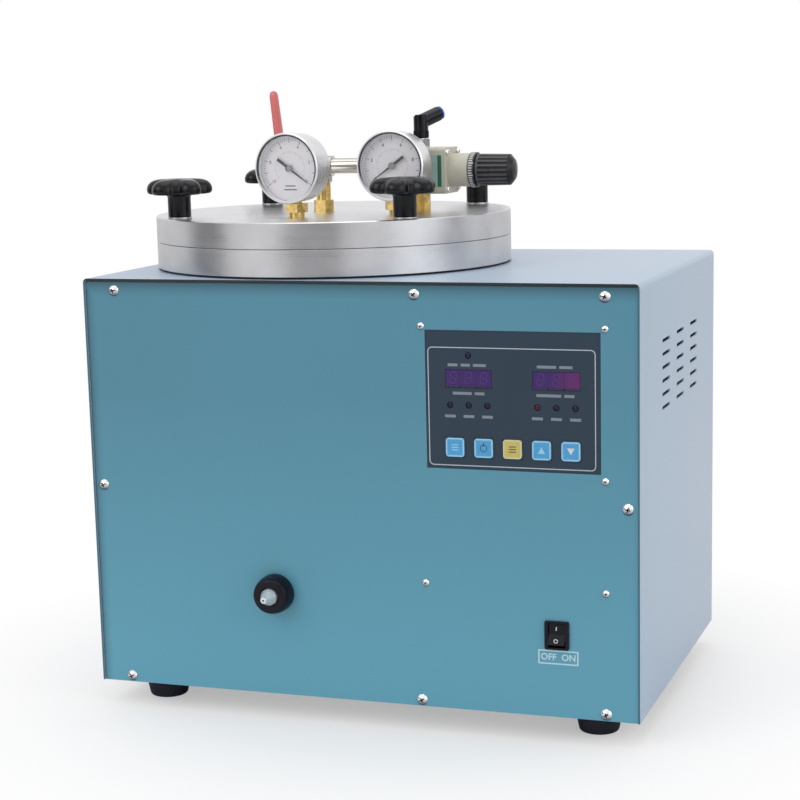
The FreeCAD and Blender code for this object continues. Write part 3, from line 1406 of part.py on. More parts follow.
def make_gauges():
    """Both gauges: cases, dials, lenses and pointers."""
    sides = ("left", "right")
    keep("gauge_cases", *[on_gauge(gauge_case(), side) for side in sides])
    fit_r = CASE_BORE - SEAT_GAP
    dials = []
    lenses = []
    for side in sides:
        hole_r = POINTER_SHAFT_R + SEAT_GAP
        dial = tube(fit_r, hole_r, (0, DIAL_Y, 0), (0, DIAL_Y + DIAL_T, 0))
        dials.append(on_gauge(dial, side))
        lenses.append(on_gauge(rod(fit_r, (0, LENS_Y, 0), (0, LENS_Y + LENS_T, 0)), side))
    keep("gauge_dials", *dials)
    keep("gauge_lenses", *lenses)
    keep("gauge_pointer_left", on_gauge(gauge_pointer(-POINTER_DROP), "left"))
    keep("gauge_pointer_right", on_gauge(gauge_pointer(180 + POINTER_DROP), "right"))


# ---- fittings, vent valve and pipe ----


def make_brass_fittings():
    """Brass screwed into the lid: two gauge stems, the riser and the regulator's nipple."""
    bottom = LID_Z1 - PORT_THREAD
    branch_z = PIPE_Z - TEE_DROP
    hex_z = LID_Z1 + RISER_HEX_H
    x, y = RISER_X, PIPE_Y
    riser = fuse_all(
        [
            rod(THREAD_R, (x, y, bottom), (x, y, LID_Z1)),
            hex_bar(RISER_HEX, (x, y, LID_Z1), (x, y, hex_z)),
            rod(RISER_R, (x, y, hex_z - PAST), (x, y, branch_z)),
            rod(NIPPLE_R, (x, y, branch_z - PAST), (x, y, branch_z + NIPPLE_END)),
        ]
    )
    riser = riser.cut(rod(LID_PORT_R, (x, y, bottom - PAST), (x, y, PIPE_Z)))
    reg_low = REG_Z - REG_HEIGHT / 2
    x, y = REG_PORT_X, REG_Y
    nipple = fuse_all(
        [
            rod(THREAD_R, (x, y, bottom), (x, y, LID_Z1)),
            hex_bar(REG_NIPPLE_HEX, (x, y, LID_Z1), (x, y, reg_low)),
            rod(NIPPLE_R, (x, y, reg_low - PAST), (x, y, reg_low + NIPPLE_END)),
        ]
    )
    nipple = nipple.cut(rod(LID_PORT_R, (x, y, bottom - PAST), (x, y, REG_Z)))
    stems = [on_gauge(gauge_stem(), side) for side in ("left", "right")]
    keep("brass_fittings", *stems, riser, nipple)


def on_pipe(x):
    """The point of the pipe's axis at a given x."""
    return (x, PIPE_Y, PIPE_Z)


def make_manifold_pipes():
    """Tee on the riser, and the pipe from it to the regulator."""
    branch = (RISER_X, PIPE_Y, PIPE_Z - TEE_DROP)
    tee = fuse_all(
        [
            rod(TEE_R, on_pipe(TEE_X[0]), on_pipe(TEE_X[1])),
            rod(TEE_BRANCH_R, branch, on_pipe(RISER_X)),
        ]
    )
    end_r = THREAD_R + THREAD_FIT
    below = (RISER_X, PIPE_Y, PIPE_Z - TEE_DROP - PAST)
    tools = [
        rod(end_r, on_pipe(TEE_X[0] - PAST), on_pipe(TEE_X[0] + NIPPLE_END + SEAT_GAP)),
        rod(end_r, on_pipe(TEE_X[1] - NIPPLE_END - SEAT_GAP), on_pipe(TEE_X[1] + PAST)),
        rod(PIPE_BORE_R, on_pipe(TEE_X[0]), on_pipe(TEE_X[1])),
        rod(NIPPLE_R + THREAD_FIT, below, (RISER_X, PIPE_Y, PIPE_Z - TEE_DROP / 5)),
    ]
    tee = cut_all(tee, tools)
    pipe = fuse_all(
        [
            rod(PIPE_R, on_pipe(TEE_X[1]), on_pipe(REG_X[0])),
            rod(THREAD_R, on_pipe(TEE_X[1] - NIPPLE_END), on_pipe(REG_X[0] + NIPPLE_END)),
        ]
    )
    pipe = pipe.cut(rod(PIPE_BORE_R, on_pipe(TEE_X[0]), on_pipe(REG_X[1])))
    keep("manifold_pipes", tee, pipe)


def make_valve_body():
    """Vent valve body with its open port, stem boss and ball chamber."""
    left, right = VALVE_X
    parts = [
        hex_bar(VALVE_HEX, on_pipe(left), on_pipe(left + VALVE_HEX_OUT)),
        hex_bar(VALVE_HEX, on_pipe(right - VALVE_HEX_IN), on_pipe(right)),
        rod(VALVE_R, on_pipe(left + VALVE_HEX_OUT / 2), on_pipe(right - VALVE_HEX_IN / 2)),
        rod(THREAD_R, on_pipe(right - PAST), on_pipe(right + NIPPLE_END)),
        rod(STEM_BOSS_R, on_pipe(PIVOT_X), (PIVOT_X, BOSS_Y, PIPE_Z)),
    ]
    tools = [
        rod(PORT_R, on_pipe(left - PAST), on_pipe(left + PORT_DEPTH)),
        rod(PIPE_BORE_R, on_pipe(left), on_pipe(right + NIPPLE_END + PAST)),
        Part.makeSphere(VALVE_BALL_R + BALL_SEAT_GAP, Vec(*on_pipe(PIVOT_X))),
        rod(VALVE_STEM_R + RUNNING, on_pipe(PIVOT_X), (PIVOT_X, BOSS_Y - PAST, PIPE_Z)),
    ]
    keep("valve_body", cut_all(fuse_all(parts), tools))


def make_valve_lever():
    """Lever blade with its nut, valve ball and stem, and the red grip sleeve."""
    front, back = BLADE_Y, BLADE_Y + LEVER_T
    half = LEVER_WIDTH / 2 - GRIP_WALL
    thread_r = VALVE_STEM_R - 0.5
    eye_r = thread_r + THREAD_FIT
    blade_end = LEVER_LENGTH - GRIP_T
    blade = fuse_all(
        [
            box((-half, half), (front, back), (0, blade_end)),
            rod(LEVER_EYE_R, (0, front, 0), (0, back, 0)),
        ]
    )
    blade = blade.cut(rod(eye_r, (0, front - PAST, 0), (0, back + PAST, 0)))
    nut_y = front - STEM_NUT_H
    stem = fuse_all(
        [
            Part.makeSphere(VALVE_BALL_R, Vec(0, PIPE_Y, 0)),
            rod(VALVE_STEM_R, (0, PIPE_Y, 0), (0, back, 0)),
            rod(thread_r, (0, back, 0), (0, nut_y - PAST, 0)),
        ]
    )
    reach = VALVE_BALL_R + PAST
    stem = stem.cut(rod(PIPE_BORE_R, (0, PIPE_Y, -reach), (0, PIPE_Y, reach)))
    nut = hex_bar(STEM_NUT, (0, nut_y, 0), (0, front, 0))
    nut = nut.cut(rod(eye_r, (0, nut_y - PAST, 0), (0, front + PAST, 0)))
    middle = (front + back) / 2
    sleeve = plate(
        (-LEVER_WIDTH / 2, LEVER_WIDTH / 2),
        (middle - GRIP_T / 2, middle + GRIP_T / 2),
        (GRIP_START, LEVER_LENGTH),
        GRIP_ROUND,
    )
    g = THREAD_FIT
    slot = box((-half - g, half + g), (front - g, back + g), (GRIP_START - PAST, blade_end + g))
    keep("valve_lever", *[on_lever(shape) for shape in (blade, stem, nut)])
    keep("lever_grip", on_lever(sleeve.cut(slot)))


def on_lever(shape):
    """Place a shape made with the lever upright at its resting tilt on the valve."""
    shape = turned(shape, (0, 0, 0), (0, -1, 0), LEVER_TILT)
    return moved(shape, (PIVOT_X, 0, PIPE_Z))


# ---- regulator ----
def on_reg(x):
    """The point of the regulator's knob axis at a given x."""
    return (x, REG_Y, REG_Z)


def make_regulator_body():
    """Regulator body with ports at the top, at the bottom and in its left end."""
    half_y, half_z = REG_DEPTH / 2, REG_HEIGHT / 2
    top, low = REG_Z + half_z, REG_Z - half_z
    body = box(REG_X, (REG_Y - half_y, REG_Y + half_y), (low, top))
    edges = [e for e in body.Edges if abs(e.tangentAt(e.FirstParameter).x) > 0.99]
    body = body.makeFillet(REG_ROUND, edges)
    x, y = REG_PORT_X, REG_Y
    end_r = THREAD_R + THREAD_FIT
    inlet_low = top - ELBOW_THREAD - SEAT_GAP
    outlet_top = low + NIPPLE_END + SEAT_GAP
    tools = [
        rod(end_r, (x, y, inlet_low), (x, y, top + PAST)),
        rod(NIPPLE_R + THREAD_FIT, (x, y, low - PAST), (x, y, outlet_top)),
        rod(REG_BORE_R, (x, y, low), (x, y, top)),
        rod(end_r, on_pipe(REG_X[0] - PAST), on_pipe(REG_X[0] + NIPPLE_END + SEAT_GAP)),
        rod(REG_BORE_R, on_pipe(REG_X[0]), on_pipe(REG_PORT_X)),
    ]
    keep("regulator_body", cut_all(body, tools))


def make_regulator_bonnet():
    """Regulator bonnet with its scale ring and the neck under the knob's skirt."""
    step = 0.9
    parts = [
        rod(BONNET_R, on_reg(REG_X[1]), on_reg(BONNET_END - step)),
        rod(BONNET_R - step, on_reg(BONNET_END - 2 * step), on_reg(BONNET_END)),
        rod(SCALE_RING_R, on_reg(BONNET_END), on_reg(RING_END)),
        rod(NECK_R, on_reg(RING_END - PAST), on_reg(RING_END + NECK_LENGTH)),
    ]
    chamber = SPINDLE_START - BODY_GAP
    chamber_end = SPINDLE_START + SPINDLE_FLANGE_T + BODY_GAP
    tools = [
        rod(SPINDLE_R + RUNNING, on_reg(chamber), on_reg(RING_END + NECK_LENGTH + PAST)),
        rod(SPINDLE_FLANGE_R + BODY_GAP, on_reg(chamber), on_reg(chamber_end)),
    ]
    keep("regulator_bonnet", cut_all(fuse_all(parts), tools))


def make_adjusting_screw():
    """Spindle of the regulator: flange and round part in the bonnet, hexagon in the knob."""
    neck_end = RING_END + NECK_LENGTH
    flange_end = SPINDLE_START + SPINDLE_FLANGE_T
    parts = [
        rod(SPINDLE_R, on_reg(SPINDLE_START), on_reg(neck_end)),
        rod(SPINDLE_FLANGE_R, on_reg(SPINDLE_START), on_reg(flange_end)),
        hex_bar(SPINDLE_HEX, on_reg(neck_end - PAST), on_reg(KNOB_X1 - NECK_LENGTH)),
    ]
    keep("adjusting_screw", fuse_all(parts))


def make_regulator_knob():
    """Ribbed knob with a domed end, a skirt over the neck and a hexagon bore."""
    knob = spun(
        [
            (0, KNOB_X0),
            (REG_KNOB_R - 0.5, KNOB_X0),
            (REG_KNOB_R, KNOB_X0 + 0.5),
            (REG_KNOB_R - 0.5, KNOB_X1 - 1.6),
            (REG_KNOB_R - 2.2, KNOB_X1),
            (REG_KNOB_R * 0.63, KNOB_X1 + REG_KNOB_DOME * 0.6),
            (REG_KNOB_R * 0.31, KNOB_X1 + REG_KNOB_DOME * 0.9),
            (0, KNOB_X1 + REG_KNOB_DOME),
        ],
        (0, REG_Y, REG_Z),
        (1, 0, 0),
    )
    across = SPINDLE_HEX + 2 * RUNNING
    tools = [
        rod(SKIRT_R, on_reg(KNOB_X0 - PAST), on_reg(RING_END + NECK_LENGTH + PAST)),
        hex_bar(across, on_reg(KNOB_X0), on_reg(KNOB_X1 - NECK_LENGTH + PAST)),
    ]
    end = KNOB_X1 + REG_KNOB_DOME
    for i in range(REG_KNOB_RIBS):
        angle = math.radians(360 / REG_KNOB_RIBS * (i + 0.5))
        y = REG_Y + REG_KNOB_R * math.cos(angle)
        z = REG_Z + REG_KNOB_R * math.sin(angle)
        tools.append(rod(REG_KNOB_GROOVE_R, (KNOB_X0 + 2.5, y, z), (end, y, z)))
    keep("regulator_knob", cut_all(knob, tools))


# ---- air inlet elbow ----
def make_elbow_base():
    """Threaded base of the air inlet elbow, with the spigot that the elbow turns on."""
    x, y = REG_PORT_X, REG_Y
    top = REG_Z + REG_HEIGHT / 2
    hex_top = ELBOW_Z - ELBOW_HEX_TOP
    parts = [
        rod(THREAD_R, (x, y, top - ELBOW_THREAD), (x, y, top)),
        hex_bar(ELBOW_HEX, (x, y, top), (x, y, hex_top)),
        rod(ELBOW_PIVOT_R, (x, y, hex_top - PAST), (x, y, ELBOW_Z - 1)),
    ]
    bore = rod(ELBOW_BORE_R, (x, y, top - ELBOW_THREAD - PAST), (x, y, ELBOW_Z))
    keep("elbow_base", fuse_all(parts).cut(bore))


def make_elbow_head():
    """Turning head of the elbow, made with its outlet along +X, and its release collet."""
    low = SEAT_GAP * 2 - ELBOW_HEX_TOP
    cap = ELBOW_R - 1.5
    head = fuse_all(
        [
            rod(ELBOW_R, (0, 0, low), (0, 0, cap)),
            rod(ELBOW_R - ELBOW_CAP_H, (0, 0, cap - 0.2), (0, 0, cap + ELBOW_CAP_H)),
            on_arm(rod(ELBOW_R - 0.1, (0, 0, 0), (ELBOW_REACH, 0, 0))),
        ]
    )
    collet_bore = ELBOW_REACH - COLLET_DEPTH - COLLET_TRAVEL - 0.5
    tools = [
        rod(ELBOW_PIVOT_R + RUNNING, (0, 0, low - PAST), (0, 0, -0.5)),
        rod(REG_BORE_R, (0, 0, -2), (0, 0, 1)),
        on_arm(rod(REG_BORE_R, (0, 0, 0), (ELBOW_REACH, 0, 0))),
        on_arm(rod(TUBE_R, (ELBOW_REACH - TUBE_STOP, 0, 0), (ELBOW_REACH, 0, 0))),
        on_arm(rod(COLLET_R + RUNNING, (collet_bore, 0, 0), (ELBOW_REACH + PAST, 0, 0))),
    ]
    rim = ELBOW_REACH + COLLET_TRAVEL + BODY_GAP
    collet = fuse_all(
        [
            rod(COLLET_R, (ELBOW_REACH - COLLET_DEPTH, 0, 0), (rim + COLLET_RIM_T / 2, 0, 0)),
            rod(COLLET_RIM_R, (rim, 0, 0), (rim + COLLET_RIM_T, 0, 0)),
        ]
    )
    collet = collet.cut(rod(TUBE_R, (0, 0, 0), (rim + COLLET_RIM_T + PAST, 0, 0)))
    keep("elbow_head", on_elbow(cut_all(head, tools)))
    keep("elbow_collet", on_elbow(on_arm(collet)))


def on_arm(shape):
    """Tilt a shape made along +X up to the slope of the elbow's outlet."""
    return turned(shape, (0, 0, 0), (0, -1, 0), ELBOW_LIFT)


def on_elbow(shape):
    """Place a shape made about the elbow's turning axis, its outlet along +X."""
    shape = turned(shape, (0, 0, 0), (0, 0, 1), ELBOW_TURN)
    return moved(shape, (REG_PORT_X, REG_Y, ELBOW_Z))


MAKERS = [
    make_outer_shell,
    make_base_plate,
    make_rubber_feet,
    make_front_panel,
    make_rear_panel,
    make_panel_screws,
    make_wax_pot,
    make_flange_gasket,
    make_lid_seal,
    make_band_heater,
    make_insulation_jacket,
    make_temperature_sensors,
    make_valve_block,
    make_nozzle_heater,
    make_nozzle_collar,
    make_nozzle_tip,
    make_nozzle_spring,
    make_controller_bracket,
    make_controller_overlay,
    make_indicator_leds,
    make_controller_board,
    make_keys,
    make_bracket_screws,
    make_switch_housing,
    make_rocker,
    make_transformer,
    make_vacuum_pump,
    make_solenoid_valves,
    make_mains_inlet,
    make_air_ports,
    make_lid_plate,
    make_star_knobs,
    make_gauges,
    make_brass_fittings,
    make_manifold_pipes,
    make_valve_body,
    make_valve_lever,
    make_regulator_body,
    make_regulator_bonnet,
    make_adjusting_screw,
    make_regulator_knob,
    make_elbow_base,
    make_elbow_head,
]


def main():
    """Build every sub-part and write one STEP file for each."""
    os.makedirs("parts", exist_ok=True)
    for make in MAKERS:
        make()
    for name, shape in NODES.items():
        shape.exportStep("parts/" + name + ".step")
    print(len(NODES), "nodes written")


main()
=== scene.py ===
import json
import math
from functools import cache, partialmethod, reduce

import bmesh
import bpy
from bpy.props import FloatProperty, FloatVectorProperty, IntProperty, PointerProperty
from mathutils import Matrix, Vector

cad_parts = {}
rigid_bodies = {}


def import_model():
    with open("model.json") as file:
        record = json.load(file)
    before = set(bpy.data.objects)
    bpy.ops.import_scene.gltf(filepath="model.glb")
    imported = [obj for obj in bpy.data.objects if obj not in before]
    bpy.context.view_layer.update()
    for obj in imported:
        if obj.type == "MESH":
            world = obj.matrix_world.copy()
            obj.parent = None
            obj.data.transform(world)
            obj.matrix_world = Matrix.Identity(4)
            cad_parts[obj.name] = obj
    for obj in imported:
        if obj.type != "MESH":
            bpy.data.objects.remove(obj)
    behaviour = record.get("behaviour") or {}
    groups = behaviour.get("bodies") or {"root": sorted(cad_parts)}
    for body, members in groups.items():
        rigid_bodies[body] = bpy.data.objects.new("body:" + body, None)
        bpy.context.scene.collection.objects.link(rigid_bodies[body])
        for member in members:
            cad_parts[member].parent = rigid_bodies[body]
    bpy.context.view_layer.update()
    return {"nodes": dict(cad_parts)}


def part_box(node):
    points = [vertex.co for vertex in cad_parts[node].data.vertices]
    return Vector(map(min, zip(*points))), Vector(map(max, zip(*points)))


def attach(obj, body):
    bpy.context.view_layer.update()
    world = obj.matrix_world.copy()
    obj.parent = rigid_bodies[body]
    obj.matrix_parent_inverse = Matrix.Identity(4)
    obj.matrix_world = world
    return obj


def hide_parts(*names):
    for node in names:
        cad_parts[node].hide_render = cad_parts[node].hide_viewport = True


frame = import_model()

bl_info = {
    "name": "Wax injector finish",
    "version": (1, 0, 0),
    "blender": (4, 5, 0),
    "location": "3D View > Sidebar > Injector",
    "description": "Paints and details a digital wax injector around its CAD frame",
    "category": "Object",
}


def middle(node):
    """The middle of a node's box."""
    low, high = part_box(node)
    return (low + high) / 2


# Metres, in the CAD frame: the front faces -Y and the floor is at z = 0.
NODES = frame["nodes"]
MM = 0.001
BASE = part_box("outer_shell")[0].z
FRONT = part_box("front_panel")[0].y
SHELL_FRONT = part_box("outer_shell")[0].y
PANEL_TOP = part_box("front_panel")[1].z - BASE
LID_MIDDLE = middle("lid_plate")

# Hub and turn about Z of each gauge, in metres and degrees.
GAUGES = {
    "left": (Vector((-0.077, -0.087, BASE + 0.460)), -5.5),
    "right": (Vector((0.0053, -0.052, BASE + 0.460)), 0.0),
}
DIAL_FACE = -0.0105
# Where the lens meets its seal, from the hub.
SEAL = 0.03245
# Height above the base of the manifold's pipe, where the lever also turns.
PIPE = 0.4582
# Angle of each star knob's first lobe, in degrees.
KNOB_TURNS = {"front_left": -35.0, "front_right": -91.0, "back_left": -51.0, "back_right": -21.0}

# Places on the controller, as (x, z).
CONTROL = middle("controller_overlay")
DISPLAYS = [(CONTROL.x + step, CONTROL.z + 0.0179) for step in (-0.0377, 0.0377)]
KEY_PITCH = 0.025
KEYS = [(CONTROL.x + (i - 2) * KEY_PITCH, CONTROL.z - 0.0402) for i in range(5)]
LED_PITCH = 0.0162

# Thickness of the print on dials and digits, of the other print and of labels.
FINE_PRINT = 0.00006
PRINT = 0.00008
LABEL = 0.0001


# ---- sizes and colours that a user may change ----
def length(name, description, default):
    """A size in metres."""
    return FloatProperty(
        name=name, description=description, default=default, min=0.0, unit="LENGTH", precision=5
    )


def colour(name, description, default):
    """A linear colour."""
    return FloatVectorProperty(
        name=name, description=description, default=default, size=3, min=0.0, max=1.0, subtype="COLOR"
    )


def power(name, description, default):
    """A lamp's power in watts."""
    return FloatProperty(name=name, description=description, default=default, min=0.0, unit="POWER")


class PaintSettings(bpy.types.PropertyGroup):
    """Colours of the painted and moulded parts."""

    # Painted reflection: the cover's enamel is given paler than the panels' for the bright surroundings it
    # reflects.
    cover: colour("Cover", "Enamel on the top and the sides of the cabinet", (0.42, 0.505, 0.615))
    panel: colour("Panels", "Enamel on the front and rear panels", (0.076, 0.245, 0.335))
    overlay: colour("Overlay", "Printed film of the controller", (0.026, 0.045, 0.070))
    pane: colour("Display pane", "Tinted window over the digits", (0.046, 0.017, 0.125))
    sleeve: colour("Lever sleeve", "Dipped vinyl on the valve lever", (0.67, 0.165, 0.158))
    regulator: colour("Regulator", "Paint on the regulator's body and bonnet", (0.55, 0.53, 0.44))


class ScrewSettings(bpy.types.PropertyGroup):
    """Sizes of the domed screws."""

    panel_radius: length("Panel screw head", "Radius of a panel screw's head", 4.9 * MM)
    panel_dome: length("Panel screw dome", "Height of a panel screw's head", 2.7 * MM)
    small_radius: length("Small screw head", "Radius of a controller screw's head", 3.1 * MM)
    small_dome: length("Small screw dome", "Height of a controller screw's head", 1.8 * MM)


class KnobSettings(bpy.types.PropertyGroup):
    """Sizes of the lid's star knobs."""

    lobes: IntProperty(name="Lobes", description="Lobes round a knob", default=5, min=3, max=9)
    waist: FloatProperty(
        name="Waist",
        description="Radius between two lobes, as a share of the knob's radius",
        default=0.7,
        min=0.5,
        max=1.0,
        subtype="FACTOR",
    )


class GaugeSettings(bpy.types.PropertyGroup):
    """Sizes of the printed scales."""

    scale_radius: length("Scale radius", "Outer end of the marks on a dial", 26.4 * MM)
    mark: length("Mark", "Length of a fine mark", 2.2 * MM)
    long_mark: length("Long mark", "Length of a numbered mark", 4.2 * MM)
    number: length("Number height", "Height of a dial's numbers", 4.2 * MM)
    sweep: FloatProperty(
        name="Sweep",
        description="Angle from the first mark to the last",
        default=math.radians(251.0),
        subtype="ANGLE",
    )


class StageSettings(bpy.types.PropertyGroup):
    """Light on the studio stage."""

    sky: FloatProperty(name="Sky", description="Strength of the white surroundings", default=0.62)
    key: power("Key", "Power of the key lamp", 16.0)
    side: power("Side", "Power of the lamp on the right", 9.0)
    top: power("Top", "Power of the lamp overhead", 12.0)


class InjectorSettings(bpy.types.PropertyGroup):
    """All settings of the injector."""

    paint: PointerProperty(type=PaintSettings)
    screws: PointerProperty(type=ScrewSettings)
    knobs: PointerProperty(type=KnobSettings)
    gauges: PointerProperty(type=GaugeSettings)
    stage: PointerProperty(type=StageSettings)


def settings():
    """The scene's injector settings."""
    return bpy.context.scene.injector


# ---- node trees written as expressions ----
class Wire:
    """An output socket. An expression on it adds Math nodes."""

    def __init__(self, graph, socket):
        self.graph = graph
        self.socket = socket

    def math(self, operation, *others):
        values = dict(enumerate((self, *others)))
        return self.graph.node("ShaderNodeMath", {"operation": operation}, values)

    __add__ = __radd__ = partialmethod(math, "ADD")
    __mul__ = __rmul__ = partialmethod(math, "MULTIPLY")
    __sub__ = partialmethod(math, "SUBTRACT")
    __truediv__ = partialmethod(math, "DIVIDE")
    __pow__ = partialmethod(math, "POWER")
    __gt__ = partialmethod(math, "GREATER_THAN")
    __lt__ = partialmethod(math, "LESS_THAN")
    __abs__ = partialmethod(math, "ABSOLUTE")
    least = partialmethod(math, "MINIMUM")
    most = partialmethod(math, "MAXIMUM")

    def __rsub__(self, other):
        return self.graph.node("ShaderNodeMath", {"operation": "SUBTRACT"}, {0: other, 1: self})

    def ramp(self, low, high):
        """0 below low and 1 above high, or the other way round if low is the larger."""
        values = {"Value": self, "From Min": low, "From Max": high}
        return self.graph.node("ShaderNodeMapRange", {"clamp": True}, values)


class Graph:
    """A node tree that is written from one method and from expressions."""

    def __init__(self, tree):
        self.tree = tree

    def node(self, kind, options=None, inputs=None, output=0):
        made = self.tree.nodes.new(kind)
        for name, value in (options or {}).items():
            setattr(made, name, value)
        for name, value in (inputs or {}).items():
            if isinstance(value, Wire):
                self.tree.links.new(value.socket, made.inputs[name])
            else:
                made.inputs[name].default_value = value
        return Wire(self, made.outputs[output])

    def combine(self, x, y, z):
        return self.node("ShaderNodeCombineXYZ", inputs={0: x, 1: y, 2: z})

    def split(self, vector):
        """The three parts of a vector."""
        outputs = self.node("ShaderNodeSeparateXYZ", inputs={0: vector}).socket.node.outputs
        return [Wire(self, outputs[i]) for i in range(3)]


class Finish(Graph):
    """A material on a Principled shader. Socket names as keywords have _ for a space."""

    def __init__(self, name):
        self.material = bpy.data.materials.new(name)
        self.material.use_nodes = True
        super().__init__(self.material.node_tree)
        self.shader = self.tree.nodes["Principled BSDF"]
        self.point = self.node("ShaderNodeTexCoord", output="Object")

    def fix(self, **constants):
        """Set what is the same all over the surface."""
        for name, value in constants.items():
            self.shader.inputs[name.replace("_", " ")].default_value = value

    def coat(self, tone, rough, height=None, depth=0.0, **others):
        """Link what changes over the surface: colour, roughness, a bump and other sockets."""
        wires = {"Base Color": tone, "Roughness": rough, **others}
        if height is not None:
            values = {"Height": height, "Distance": depth, "Strength": 1.0}
            wires["Normal"] = self.node("ShaderNodeBump", inputs=values)
        for name, wire in wires.items():
            self.tree.links.new(wire.socket, self.shader.inputs[name])

    def surface(self, shader):
        """Put another shader on the surface."""
        self.tree.links.new(shader.socket, self.tree.nodes["Material Output"].inputs["Surface"])

    def axes(self, centre=(0, 0, 0)):
        """The object's coordinates about a centre."""
        back = [-c for c in centre]
        return self.split(self.node("ShaderNodeMapping", inputs={"Vector": self.point, "Location": back}))

    def noise(self, size, detail=2.0, stretch=None, vector=None):
        point = vector or self.point
        if stretch:
            point = self.node("ShaderNodeMapping", inputs={"Vector": point, "Scale": stretch})
        values = {"Vector": point, "Scale": 1.0 / size, "Detail": detail}
        return self.node("ShaderNodeTexNoise", inputs=values)

    def mix(self, factor, first, second):
        """A colour between two others."""
        pair = [c if isinstance(c, Wire) else (*c, 1.0) for c in (first, second)]
        values = {0: factor, 6: pair[0], 7: pair[1]}
        return self.node("ShaderNodeMix", {"data_type": "RGBA"}, values, output=2)


def shade(base, *factors):
    """A colour times one factor, or times one for each channel."""
    return tuple(min(1.0, c * k) for c, k in zip(base, factors * 3))


def either(masks):
    """A mask that covers what any of several masks covers."""
    return reduce(Wire.most, masks)


# ---- finishes ----
RECIPES = {}


def recipe(coat):
    """Keep a function that coats a new material of its own name."""
    RECIPES[coat.__name__] = coat, ()
    return coat


def recipes(coat, table):
    """Keep the materials that one function coats from the rows of a table."""
    RECIPES.update((name, (coat, values)) for name, values in table.items())


@cache
def finish(name):
    """The material of a name, made once."""
    coat, values = RECIPES[name]
    look = Finish(name)
    coat(look, *values)
    return look.material


def plastic(look, base, rough, grain, depth, spread, shine):
    """Moulded plastic with a faint grain and uneven gloss; without a colour it is the lever's."""
    look.fix(Specular_IOR_Level=shine)
    base = base or settings().paint.sleeve
    cloud = look.noise(0.02, 3.0)
    tone = look.mix(cloud, shade(base, 1 - spread), shade(base, 1 + spread))
    look.coat(tone, (cloud - 0.5) * 0.16 + rough, look.noise(grain, 2.0), depth)


# Colour, roughness, size and depth of the grain, spread of the tone, shine.
recipes(plastic, {
    "black_gloss": ((0.004, 0.004, 0.006), 0.2, 0.004, 0.00004, 0.25, 0.25),
    "black_satin": ((0.006, 0.005, 0.011), 0.34, 0.0012, 0.00003, 0.25, 0.2),
    "rubber": ((0.012, 0.014, 0.024), 0.68, 0.0008, 0.00006, 0.25, 0.3),
    "silicone": ((0.42, 0.10, 0.06), 0.5, 0.001, 0.00005, 0.25, 0.5),
    "red_vinyl": (None, 0.28, 0.003, 0.00008, 0.12, 0.5),
    "blue_plastic": ((0.02, 0.09, 0.42), 0.3, 0.0012, 0.00003, 0.25, 0.5),
})


def plated(look, base, rough, wear):
    """Plated metal, with light handling marks."""
    look.fix(Metallic=1.0)
    cloud = look.noise(0.015, 4.0)
    rub = look.noise(0.002, 2.0, stretch=(1, 1, 6))
    tone = look.mix(cloud, shade(base, 1 - wear), base)
    look.coat(tone, cloud * 0.12 + rub * 0.08 + (rough - 0.1), rub, 0.00001)


recipes(plated, {"chrome": ((0.86, 0.86, 0.87), 0.14, 0.12), "steel": ((0.58, 0.58, 0.6), 0.34, 0.25)})


def ink(look, *base):
    """Screen-printed ink, slightly uneven."""
    cloud = look.noise(0.0025, 3.0)
    tone = look.mix(cloud, shade(base, 0.85), shade(base, 1.08))
    look.coat(tone, cloud * 0.15 + 0.45, look.noise(0.0004, 1.0), 0.00001)


recipes(ink, {
    "white_ink": (0.64, 0.66, 0.67),
    "grey_ink": (0.46, 0.51, 0.57),
    "faint_ink": (0.20, 0.23, 0.27),
    "key_ink": (0.30, 0.58, 0.80),
    "deep_ink": (0.05, 0.12, 0.13),
    "label_ink": (0.50, 0.70, 0.78),
    "black_ink": (0.02, 0.02, 0.024),
    "red_ink": (0.42, 0.10, 0.12),
    "green_ink": (0.012, 0.16, 0.075),
    "teal_ink": (0.36, 0.50, 0.47),
    "segment_ink": (0.056, 0.023, 0.145),
    "gap_ink": (0.022, 0.010, 0.055),
})


def key_face(look, base, rim):
    """Key cap that is paler near its edges. The keys stand at one pitch, so one pattern fits all."""
    x, y, z = look.axes((KEYS[0][0] - KEY_PITCH / 2, 0.0, KEYS[0][1]))
    across = abs((x / KEY_PITCH).math("FRACT") - 0.5) * KEY_PITCH
    edge = across.most(abs(z)).ramp(0.0061, 0.0072)
    cloud = look.noise(0.006, 3.0)
    tone = look.mix(edge, look.mix(cloud, shade(base, 0.85), shade(base, 1.12)), rim)
    look.coat(tone, cloud * 0.1 + 0.3, look.noise(0.0006, 1.0), 0.00002)


recipes(key_face, {
    "key_blue": ((0.062, 0.33, 0.63), (0.30, 0.60, 0.80)),
    "key_yellow": ((0.56, 0.46, 0.10), (0.62, 0.60, 0.40)),
})


